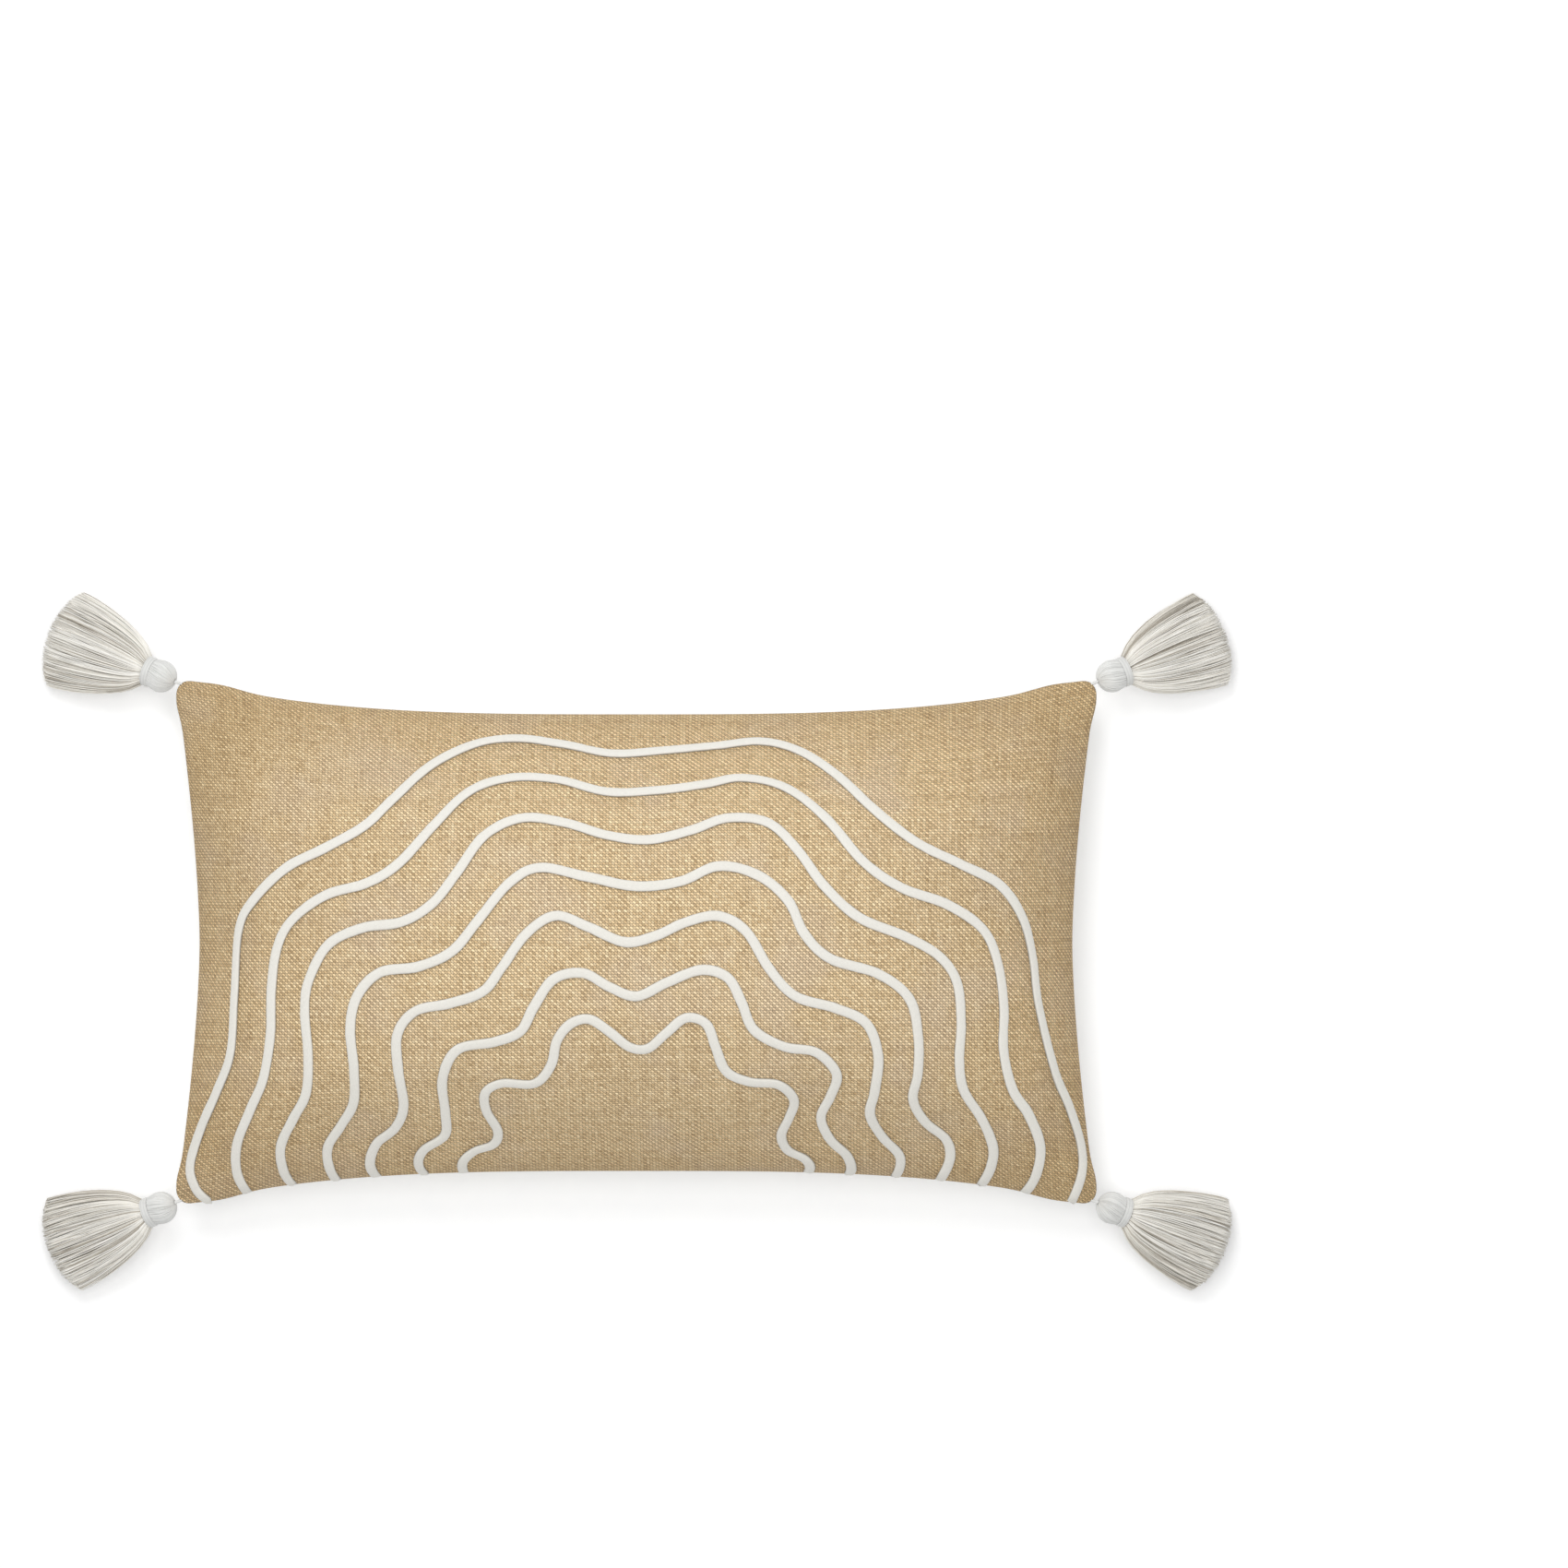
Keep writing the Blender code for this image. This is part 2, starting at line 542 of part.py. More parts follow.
def tassel(corner, side_x, side_y):
    """String, head, neck wrap and skirt. They lie along one axis, which points away from the corner."""
    level = Vector((side_x * math.cos(TASSEL_ANGLE), side_y * math.sin(TASSEL_ANGLE), 0))
    down = Vector((0, 0, -1))
    axis = level * math.cos(TASSEL_DROOP) + down * math.sin(TASSEL_DROOP)
    wide = level.cross(down).normalized()
    start = Vector((*outline_point(side_x, side_y), seam_height(side_x, side_y)))
    bend, lift = start + level * STRING_PIVOT, start + level * STRING_END
    swing_axis = pivot(f"tassel_{corner}_swing_axis", bend)
    lift_axis = pivot(f"tassel_{corner}_lift_axis", lift, swing_axis)
    head = lift + axis * (HEAD_RADIUS + HEAD_GAP)
    turned(f"tassel_{corner}_string", bend, level, wide, STRING_SECTIONS, 6, TASSEL_FELT, swing_axis)
    turned(f"tassel_{corner}_head", head, axis, wide, head_sections(), 10, TASSEL_FELT, lift_axis)
    turned(f"tassel_{corner}_neck_wrap", head, axis, wide, NECK_SECTIONS, 10, TASSEL_FELT, lift_axis)
    turned(f"tassel_{corner}_skirt", head, axis, wide, SKIRT_SECTIONS, 12, TASSEL_YARN, lift_axis)


def main():
    for old in list(bpy.data.objects):
        bpy.data.objects.remove(old)
    front_panel()
    for number, route in enumerate(CORD_ROUTES_MM, 1):
        applique_cord(f"applique_cord_{number}", route)
    back_panel("back_panel_lower", -1, (0, 0.035, 0.1, 0.19, 0.3, 0.43, 0.57, 0.7, 0.81, 0.9, 0.96, 1))
    back_panel("back_panel_upper", 1, (0, 0.14, 0.35, 0.6, 0.82, 1))
    edge_seam()
    insert()
    zip_fastener()
    zip_runner()
    placket_flap()
    for corner, sides in CORNERS.items():
        tassel(corner, *sides)


main()
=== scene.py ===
"""Looks of a lumbar throw pillow: jute face with couched cord arches, cotton back with a lapped zip, tassels.

Metres, +Z up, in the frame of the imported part: the pillow lies on its back with the jute face up.
"""

import math

import bpy
import numpy as np
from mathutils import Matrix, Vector


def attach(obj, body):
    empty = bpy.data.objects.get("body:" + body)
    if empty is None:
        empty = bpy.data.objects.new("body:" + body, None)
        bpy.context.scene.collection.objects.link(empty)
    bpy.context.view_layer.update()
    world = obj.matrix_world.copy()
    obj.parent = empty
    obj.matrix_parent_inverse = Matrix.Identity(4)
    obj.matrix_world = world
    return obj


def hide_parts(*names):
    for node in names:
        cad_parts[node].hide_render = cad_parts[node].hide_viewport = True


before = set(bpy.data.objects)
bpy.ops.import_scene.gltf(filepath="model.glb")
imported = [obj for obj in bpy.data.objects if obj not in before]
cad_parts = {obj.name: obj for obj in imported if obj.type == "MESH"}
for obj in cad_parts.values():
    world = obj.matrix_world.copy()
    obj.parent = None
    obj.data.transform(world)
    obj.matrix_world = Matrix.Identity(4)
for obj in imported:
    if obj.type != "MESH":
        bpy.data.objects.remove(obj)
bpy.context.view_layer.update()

MM = 0.001

# The cover's form, as in the part
COVER_WIDTH = 610 * MM
COVER_DEPTH = 349.4 * MM
CORNER_RADIUS = 11 * MM
SIDE_PULL = 17 * MM
TOP_PULL = 24 * MM
SEAM_HEIGHT = 55 * MM
CORNER_DROP = 19 * MM
FRONT_RISE = 85 * MM
CLOTH = 1.2 * MM
SEAM_HALF_GAP = 0.7 * MM        # the cloths meet more closely here than the part's plain panels
COVER_COLUMNS, COVER_ROWS = 210, 132
NET_COLUMNS, NET_ROWS = 96, 60  # of the cloth that is simulated

# The lapped zip, as in the part
ZIP_Y = 111 * MM
ZIP_Z = 10 * MM
ZIP_RADIUS = 1400 * MM
ZIP_TILT = math.radians(28)
FLAP_HALF_LENGTH = 280 * MM
OPENING_HALF_WIDTH = 6 * MM
SEWN_DOWN = 0.5 * MM            # the flap's height over the back where it is sewn
STITCH_ROW = 9.4 * MM           # from the zip's middle

# The tassels: as in the part, with a slightly looser skirt
TASSEL_ANGLE = math.radians(21)
TASSEL_DROOP = math.radians(16.3)
STRING_END = 3.7 * MM
HEAD_RADIUS = 10.8 * MM
NECK_RADIUS = 9.6 * MM
SKIRT_START = 11 * MM
SKIRT_LENGTH = 82.5 * MM
SKIRT_OUTER_YARNS, SKIRT_INNER_YARNS = 860, 420
SKIRT_INNER_START = 45 * MM
SKIRT_DARK_SHARE = 0.11         # of the yarns, which lie in shadow
HEAD_YARNS = 72
SKIRT_KNOTS = np.array([11, 14, 18, 23, 28, 36, 46, 56, 67, 76, 83]) * MM
SKIRT_HALF_WIDTHS = np.array([9.7, 13.2, 16.6, 19.8, 22.2, 25.4, 28.4, 30.6, 32.2, 32.9, 33.2]) * MM
SKIRT_HALF_HEIGHTS = np.array([9.0, 9.6, 10.1, 10.5, 10.8, 11.0, 11.0, 10.8, 10.4, 10.0, 9.6]) * MM
CORNERS = {"top_right": (1, 1), "top_left": (-1, 1), "bottom_left": (-1, -1), "bottom_right": (1, -1)}

# The cords on the face, with their routes as in the part: seen from above, in millimetres from its middle
CORD_WIDTH = 6.7 * MM
CORD_THICKNESS = 2.7 * MM
CORD_STEP = 2.2 * MM
CORD_LEAD = 7 * MM              # added to each end of a route, and then cut off at the seam
CORD_ROUTES_MM = (
    ((-283, -171), (-291, -162), (-294, -147), (-286, -122), (-274, -96), (-265, -72), (-262, -34),
     (-259, 9), (-249, 29), (-227, 50), (-201, 63), (-176, 77), (-158, 94), (-134, 116), (-106, 130),
     (-78, 134), (-47, 130), (-15, 124), (19, 126), (52, 129), (82, 132), (107, 126), (131, 111),
     (156, 88), (183, 67), (213, 52), (238, 39), (253, 18), (260, -8), (264, -40), (275, -84),
     (285, -108), (293, -133), (294, -152), (288, -171)),
    ((-258, -164), (-263, -151), (-262, -132), (-252, -108), (-243, -88), (-238, -60), (-237, -29),
     (-233, -2), (-223, 16), (-201, 32), (-174, 40), (-153, 53), (-131, 77), (-108, 99), (-82, 108),
     (-51, 107), (-18, 99), (16, 100), (46, 104), (70, 108), (98, 102), (125, 82), (149, 54),
     (174, 37), (204, 26), (227, 10), (237, -12), (241, -41), (241, -69), (247, -95), (258, -112),
     (266, -133), (264, -152), (258, -164)),
    ((-226, -161), (-232, -150), (-233, -133), (-224, -114), (-215, -97), (-213, -72), (-215, -44),
     (-212, -23), (-199, 0), (-176, 11), (-151, 15), (-131, 27), (-115, 47), (-97, 71), (-73, 82),
     (-45, 79), (-18, 71), (9, 68), (37, 74), (61, 82), (87, 79), (106, 62), (124, 38), (146, 18),
     (177, 5), (198, -7), (210, -24), (213, -51), (212, -75), (215, -95), (227, -114), (235, -133),
     (234, -147), (229, -158)),
    ((-196, -160), (-202, -147), (-202, -133), (-193, -119), (-184, -103), (-183, -81), (-185, -55),
     (-180, -33), (-165, -18), (-140, -14), (-118, -4), (-101, 16), (-81, 40), (-61, 50), (-30, 44),
     (2, 38), (30, 41), (55, 51), (81, 45), (100, 29), (111, 7), (128, -9), (159, -19), (179, -35),
     (185, -60), (185, -84), (182, -101), (190, -116), (204, -128), (207, -141), (201, -156)),
    ((-170, -157), (-175, -145), (-170, -131), (-157, -120), (-151, -105), (-154, -81), (-154, -58),
     (-142, -43), (-120, -38), (-98, -30), (-86, -15), (-70, 7), (-51, 19), (-30, 12), (-6, 2),
     (14, 6), (34, 15), (55, 19), (73, 9), (88, -15), (105, -33), (131, -41), (151, -51),
     (159, -72), (157, -95), (154, -111), (162, -126), (173, -138), (174, -147), (170, -156)),
    ((-137, -156), (-143, -145), (-139, -135), (-125, -125), (-124, -110), (-125, -87), (-115, -68),
     (-91, -63), (-74, -56), (-65, -40), (-52, -22), (-33, -18), (-16, -27), (2, -33), (22, -24),
     (44, -16), (61, -21), (70, -37), (78, -55), (98, -66), (119, -70), (132, -84), (128, -99),
     (122, -113), (128, -128), (139, -139), (142, -149), (137, -156)),
    ((-113, -155), (-114, -144), (-106, -136), (-93, -131), (-90, -122), (-97, -108), (-97, -96),
     (-86, -90), (-65, -90), (-54, -78), (-50, -62), (-41, -51), (-29, -48), (-16, -56), (-3, -66),
     (9, -67), (21, -57), (34, -47), (47, -51), (53, -66), (60, -82), (75, -89), (94, -91),
     (104, -101), (101, -113), (96, -125), (100, -135), (111, -141), (115, -147), (112, -155)),
)

# The view: straight down, from far away, with the pillow left of and below the middle
VIEW_X, VIEW_Y = 97.7 * MM, 104.7 * MM
VIEW_WIDTH = 1.035
LENS, SENSOR = 200.0, 36.0

# The light: each lamp's place, diameter and watts
LAMPS = {"key": ((-0.45, 1.5, 2.3), 1.3, 23), "top": ((0.0, 0.0, 3.2), 2.2, 43.5)}
SKY_COLOR, SKY_STRENGTH = (0.985, 0.993, 1.0, 1), 0.42
FLOOR_SIZE = 12.0               # from its middle to each side
FLOOR_GLOW = 0.14

# How the cover's cloth settles
SETTLE_FRAMES = 24
SMOOTHING_ROUNDS = 5
RIM_FADE = 0.14                 # share of the half width over which the movement fades out
MOST_SHIFT = 5 * MM
START_FULLNESS = 0.965          # the face starts a little flatter, for the pressure to fill
CLOTH_SETTINGS = {
    "vertex_group_mass": "held", "quality": 6, "mass": 0.25, "air_damping": 3, "tension_stiffness": 25,
    "compression_stiffness": 25, "shear_stiffness": 8, "bending_stiffness": 0.4, "shrink_min": -0.022,
    "use_pressure": True, "uniform_pressure_force": 4,
}


# ---------------------------------------------------------------- numbers


def smoothstep(low, high, value):
    t = np.clip((value - low) / (high - low), 0, 1)
    return t * t * (3 - 2 * t)


def unit(vectors):
    return vectors / np.maximum(np.linalg.norm(vectors, axis=-1, keepdims=True), 1e-12)


def ear(t):
    return 0.1 * np.exp(-(((t - 0.9) / 0.06) ** 2))


def round_corners(u, v):
    """Moves the square's parameters so that its corners become arcs, and the lines inside follow them."""
    p, q = (1 - np.abs(u)) * COVER_WIDTH / 2, (1 - np.abs(v)) * COVER_DEPTH / 2
    near, far = np.minimum(p, q), np.maximum(p, q)
    radius = np.maximum(CORNER_RADIUS - near, 1e-9)
    angle = math.pi / 4 * np.clip(1 - (far - near) / radius, 0, 1)
    inside = far < CORNER_RADIUS
    new_near = np.where(inside, CORNER_RADIUS - radius * np.cos(angle), near)
    new_far = np.where(inside, CORNER_RADIUS - radius * np.sin(angle), far)
    p, q = np.where(p <= q, new_near, new_far), np.where(p <= q, new_far, new_near)
    return np.sign(u) * (1 - 2 * p / COVER_WIDTH), np.sign(v) * (1 - 2 * q / COVER_DEPTH)


def outline(u, v):
    """Place seen from above of the cover's square parameters u and v, each from -1 to 1."""
    u, v = round_corners(u, v)
    side = 1 - np.minimum(1, np.abs(v) ** 1.6 + ear(np.abs(v)))
    top = 1 - np.minimum(1, np.abs(u) ** 3.2 + ear(np.abs(u)))
    return u * (COVER_WIDTH / 2 - SIDE_PULL * side), v * (COVER_DEPTH / 2 - TOP_PULL * top)


def params_at(x, y, most=0.998):
    """The u and v of places seen from above."""
    u, v = 2 * x / COVER_WIDTH, 2 * y / COVER_DEPTH
    for _ in range(14):
        at_x, at_y = outline(np.clip(u, -1, 1), np.clip(v, -1, 1))
        u = u + 2 * (x - at_x) / COVER_WIDTH
        v = v + 2 * (y - at_y) / COVER_DEPTH
    return np.clip(u, -most, most), np.clip(v, -most, most)


def seam_height(u, v):
    return SEAM_HEIGHT - CORNER_DROP * np.abs(u * v) ** 3


def zip_point(along, across, out):
    """Points by their place along the zip, across it towards the top edge, and out of the back."""
    along, across, out = np.broadcast_arrays(along, across, out)
    height = ZIP_Z + across * math.sin(ZIP_TILT) - out * math.cos(ZIP_TILT)
    arm = ZIP_Z + ZIP_RADIUS - height
    turn = along / ZIP_RADIUS
    y = ZIP_Y + across * math.cos(ZIP_TILT) + out * math.sin(ZIP_TILT)
    return np.stack([arm * np.sin(turn), y, ZIP_Z + ZIP_RADIUS - arm * np.cos(turn)], axis=-1)


def near_zip(x, y):
    """1 in the band of the back that carries the zip, and 0 away from it."""
    near = 1 - smoothstep(12 * MM, np.where(y < ZIP_Y, 46 * MM, 30 * MM), np.abs(y - ZIP_Y))
    return near * (1 - smoothstep(282 * MM, 291 * MM, np.abs(x)))


def plain_front(u, v):
    crown = (1 - np.abs(u) ** 2.6) ** 0.62 * (1 - np.abs(v) ** 2.2) ** 0.72
    z = seam_height(u, v) + SEAM_HALF_GAP + (FRONT_RISE - SEAM_HALF_GAP) * crown
    return np.stack([*outline(u, v), z], axis=-1)


def plain_back(u, v):
    x, y = outline(u, v)
    bulge = (1 - np.abs(u) ** 3.2) ** 0.8 * (1 - np.abs(v) ** 3) ** 0.85
    rim = seam_height(u, v) - SEAM_HALF_GAP
    free = rim * (1 - np.minimum(1, 1.2 * bulge))
    arm = ZIP_RADIUS - (y - ZIP_Y) * math.tan(ZIP_TILT)
    band = ZIP_Z + ZIP_RADIUS - np.sqrt(arm * arm - x * x)
    return np.stack([x, y, free + (band - free) * near_zip(x, y)], axis=-1)


def even_params(count, line):
    """count + 1 values from -1 to 1 that lie evenly along a line of the face."""
    fine = np.linspace(-1, 1, 4001)
    lengths = np.linalg.norm(np.diff(line(fine), axis=0), axis=1)
    reached = np.concatenate([[0], np.cumsum(lengths)])
    return np.interp(np.linspace(0, reached[-1], count + 1), reached, fine)


def cover_params(columns, rows):
    u = even_params(columns, lambda t: plain_front(t, 0 * t))
    v = even_params(rows, lambda t: plain_front(0 * t, t))
    return u, v


# ---------------------------------------------------------------- cloth simulation


def places_of(mesh):
    places = np.zeros(len(mesh.vertices) * 3, np.float32)
    mesh.vertices.foreach_get("co", places)
    return places.reshape(-1, 3)


def net_mesh(front, back):
    """One closed cloth through both sides' grids, which share their border, and the numbers of its points."""
    rows, columns = front.shape[:2]
    front_ids = np.arange(rows * columns).reshape(rows, columns)
    back_ids = front_ids.copy()
    inner = (rows - 2) * (columns - 2)
    back_ids[1:-1, 1:-1] = rows * columns + np.arange(inner).reshape(rows - 2, columns - 2)
    points = np.concatenate([front.reshape(-1, 3), back[1:-1, 1:-1].reshape(-1, 3)])
    faces = np.concatenate([quads(front_ids), quads(back_ids)[:, ::-1]])
    return points, faces, front_ids, back_ids


def quads(ids):
    return np.stack([ids[:-1, :-1], ids[:-1, 1:], ids[1:, 1:], ids[1:, :-1]], axis=-1).reshape(-1, 4)


def settle():
    """How far the filled cover's cloth moves from its plain form, over the net's grid, for each side."""
    net_u, net_v = cover_params(NET_COLUMNS, NET_ROWS)
    u, v = np.meshgrid(net_u, net_v)
    front, back = plain_front(u, v), plain_back(u, v)
    start_front, start_back = front.copy(), back.copy()
    rim = seam_height(u, v)
    start_front[..., 2] = rim + (front[..., 2] - rim) * START_FULLNESS
    border = np.ones(u.shape, bool)
    border[1:-1, 1:-1] = False
    start_front[border, 2] = rim[border]
    points, faces, front_ids, back_ids = net_mesh(start_front, start_back)
    mesh = bpy.data.meshes.new("net")
    mesh.from_pydata(points.tolist(), [], faces.tolist())
    net = bpy.data.objects.new("net", mesh)
    bpy.context.scene.collection.objects.link(net)
    hold = np.zeros(len(points))
    x, y = outline(u, v)
    resting = 1 - smoothstep(1 * MM, 9 * MM, back[..., 2])
    hold[back_ids] = np.maximum(resting, near_zip(x, y))
    hold[front_ids[border]] = 1
    pins = net.vertex_groups.new(name="held")
    for number, weight in enumerate(hold):
        pins.add([number], float(weight), "REPLACE")
    cloth = net.modifiers.new("cloth", "CLOTH")
    for label, value in CLOTH_SETTINGS.items():
        setattr(cloth.settings, label, value)
    cloth.settings.effector_weights.gravity = 0
    cloth.point_cache.frame_start, cloth.point_cache.frame_end = 1, SETTLE_FRAMES
    for number in range(1, SETTLE_FRAMES + 1):
        bpy.context.scene.frame_set(number)
    done = net.evaluated_get(bpy.context.evaluated_depsgraph_get())
    moved = places_of(done.data).astype(float)
    bpy.context.scene.frame_set(1)
    bpy.data.objects.remove(net)
    shifts = np.stack([moved[front_ids] - start_front + (start_front - front), moved[back_ids] - back])
    shifts *= (smoothstep(0, RIM_FADE, 1 - np.abs(u)) * smoothstep(0, RIM_FADE, 1 - np.abs(v)))[..., None]
    for _ in range(SMOOTHING_ROUNDS):
        for axis in (1, 2):
            before, after = np.roll(shifts, 1, axis=axis), np.roll(shifts, -1, axis=axis)
            shifts = (before + 2 * shifts + after) / 4
    shifts[:, border] = 0
    size = np.linalg.norm(shifts, axis=-1, keepdims=True)
    return net_u, net_v, shifts * np.tanh(size / MOST_SHIFT) * MOST_SHIFT / np.maximum(size, 1e-9)


NET_U, NET_V, SHIFTS = settle()


def cubic(values, at):
    """The four Catmull-Rom weights and first neighbour's number for places between a list of values."""
    number = np.clip(np.searchsorted(values, at) - 1, 0, len(values) - 2)
    t = np.clip((at - values[number]) / (values[number + 1] - values[number]), 0, 1)
    weights = [-t + 2 * t**2 - t**3, 2 - 5 * t**2 + 3 * t**3, t + 4 * t**2 - 3 * t**3, -t**2 + t**3]
    return number - 1, 0.5 * np.stack(weights)


def shift_at(side, u, v):
    """The cloth's movement between the net's points."""
    first_u, weight_u = cubic(NET_U, u)
    first_v, weight_v = cubic(NET_V, v)
    total = 0
    for j in range(4):
        row = np.clip(first_v + j, 0, NET_ROWS)
        for i in range(4):
            column = np.clip(first_u + i, 0, NET_COLUMNS)
            total = total + SHIFTS[side][row, column] * (weight_u[i] * weight_v[j])[..., None]
    return total


def front_point(u, v):
    return plain_front(u, v) + shift_at(0, u, v)


def back_point(u, v):
    place = plain_back(u, v) + shift_at(1, u, v)
    place[..., 2] = np.maximum(place[..., 2], 0)
    return place


def params_on_face(x, y):
    """The u and v of the settled face's points at places seen from above, and which lie inside its edge."""
    aim_x, aim_y = x.copy(), y.copy()
    for _ in range(4):
        u, v = params_at(aim_x, aim_y)
        place = front_point(u, v)
        aim_x, aim_y = aim_x + x - place[..., 0], aim_y + y - place[..., 1]
    return u, v, np.hypot(x - place[..., 0], y - place[..., 1]) < 1 * MM


def surface_frame(point, u, v, step=0.004):
    """Points of a side of the cover with their normals, which point up."""
    left, right = point(np.clip(u - step, -1, 1), v), point(np.clip(u + step, -1, 1), v)
    low, high = point(u, np.clip(v - step, -1, 1)), point(u, np.clip(v + step, -1, 1))
    return point(u, v), unit(np.cross(right - left, high - low))


# ---------------------------------------------------------------- meshes


def add_attribute(mesh, label, values):
    values = np.asarray(values, np.float32)
    if values.ndim == 1:
        mesh.attributes.new(label, "FLOAT", "POINT").data.foreach_set("value", values)
    else:
        mesh.attributes.new(label, "FLOAT_VECTOR", "POINT").data.foreach_set("vector", values.ravel())


def add_object(name, points, faces, look, smooth=True, attributes=None):
    """Makes an object from arrays. attributes holds lists of numbers or of vectors, one for each point."""
    mesh = bpy.data.meshes.new(name)
    mesh.from_pydata(np.asarray(points, float).tolist(), [], [list(map(int, f)) for f in faces])
    if smooth:
        mesh.shade_smooth()
    for label, values in (attributes or {}).items():
        add_attribute(mesh, label, values)
    mesh.materials.append(look)
    made = bpy.data.objects.new(name, mesh)
    bpy.context.scene.collection.objects.link(made)
    return made


def border_of(grid):
    """The values once round the border of a grid."""
    return np.concatenate([grid[0], grid[1:, -1], grid[-1, -2::-1], grid[-2:0:-1, 0]])


def cloth_lengths(points):
    """Distances along the cloth from its middle, in x and in y, over a grid of points."""
    across = np.linalg.norm(np.diff(points, axis=1), axis=-1)
    along = np.linalg.norm(np.diff(points, axis=0), axis=-1)
    x, y = np.zeros(points.shape[:2]), np.zeros(points.shape[:2])
    x[:, 1:], y[1:] = np.cumsum(across, axis=1), np.cumsum(along, axis=0)
    return x - x[:, points.shape[1] // 2, None], y - y[None, points.shape[0] // 2]


def spans(points, faces, corner):
    """Six times the volume under a triangle of each face, summed: its sign tells which way the faces look."""
    a, b, c = (points[faces[:, number]] for number in (0, corner, corner + 1))
    return np.einsum("ij,ij->i", a, np.cross(b, c)).sum()


def shell(name, outer, inner, look):
    """A closed cloth between two grids of points, with its lengths along the cloth in the attribute cloth."""
    rows, columns = outer.shape[:2]
    outer_ids = np.arange(rows * columns).reshape(rows, columns)
    inner_ids = outer_ids + rows * columns
    top, low = border_of(outer_ids), border_of(inner_ids)
    edge = np.stack([low, np.roll(low, -1), np.roll(top, -1), top], axis=-1)
    faces = np.concatenate([quads(outer_ids), quads(inner_ids)[:, ::-1], edge])
    points = np.concatenate([outer.reshape(-1, 3), inner.reshape(-1, 3)])
    if spans(points, faces, 1) + spans(points, faces, 2) < 0:
        faces = faces[:, ::-1]
    x, y = cloth_lengths(outer)
    flat = np.stack([x, y, 0 * x], axis=-1).reshape(-1, 3)
    return add_object(name, points, faces, look, attributes={"cloth": np.concatenate([flat, flat])})


def frames_along(paths):
    """Two directions across each point of paths, an array of (path, point, xyz), that turn little."""
    ahead = unit(np.gradient(paths, axis=1))
    helper = np.where(np.abs(ahead[:, :1, 2:]) < 0.9, np.array([0, 0, 1.0]), np.array([1.0, 0, 0]))
    side = np.zeros_like(paths)
    side[:, 0] = unit(np.cross(helper[:, 0], ahead[:, 0]))
    for k in range(1, paths.shape[1]):
        kept = side[:, k - 1] - ahead[:, k] * np.sum(side[:, k - 1] * ahead[:, k], axis=-1, keepdims=True)
        side[:, k] = unit(kept)
    return side, np.cross(ahead, side)


def tubes(paths, radii, sides):
    """Points and faces of capped tubes along paths, an array of (path, point, xyz), with a radius at each."""
    count, length = paths.shape[:2]
    side, other = frames_along(paths)
    turns = 2 * math.pi * np.arange(sides) / sides
    ring = side[:, :, None] * np.cos(turns)[:, None] + other[:, :, None] * np.sin(turns)[:, None]
    points = paths[:, :, None] + ring * radii[:, :, None, None]
    ids = np.arange(count * length * sides).reshape(count, length, sides)
    return points.reshape(-1, 3), tube_faces(ids)


def tube_faces(ids):
    """Faces and end caps of tubes, from the numbers of their points: an array of (tube, ring, point)."""
    after = np.roll(ids, -1, axis=2)
    walls = np.stack([ids[:, :-1], after[:, :-1], after[:, 1:], ids[:, 1:]], axis=-1).reshape(-1, 4)
    return walls.tolist() + ids[:, 0, ::-1].tolist() + ids[:, -1].tolist()


# ---------------------------------------------------------------- materials


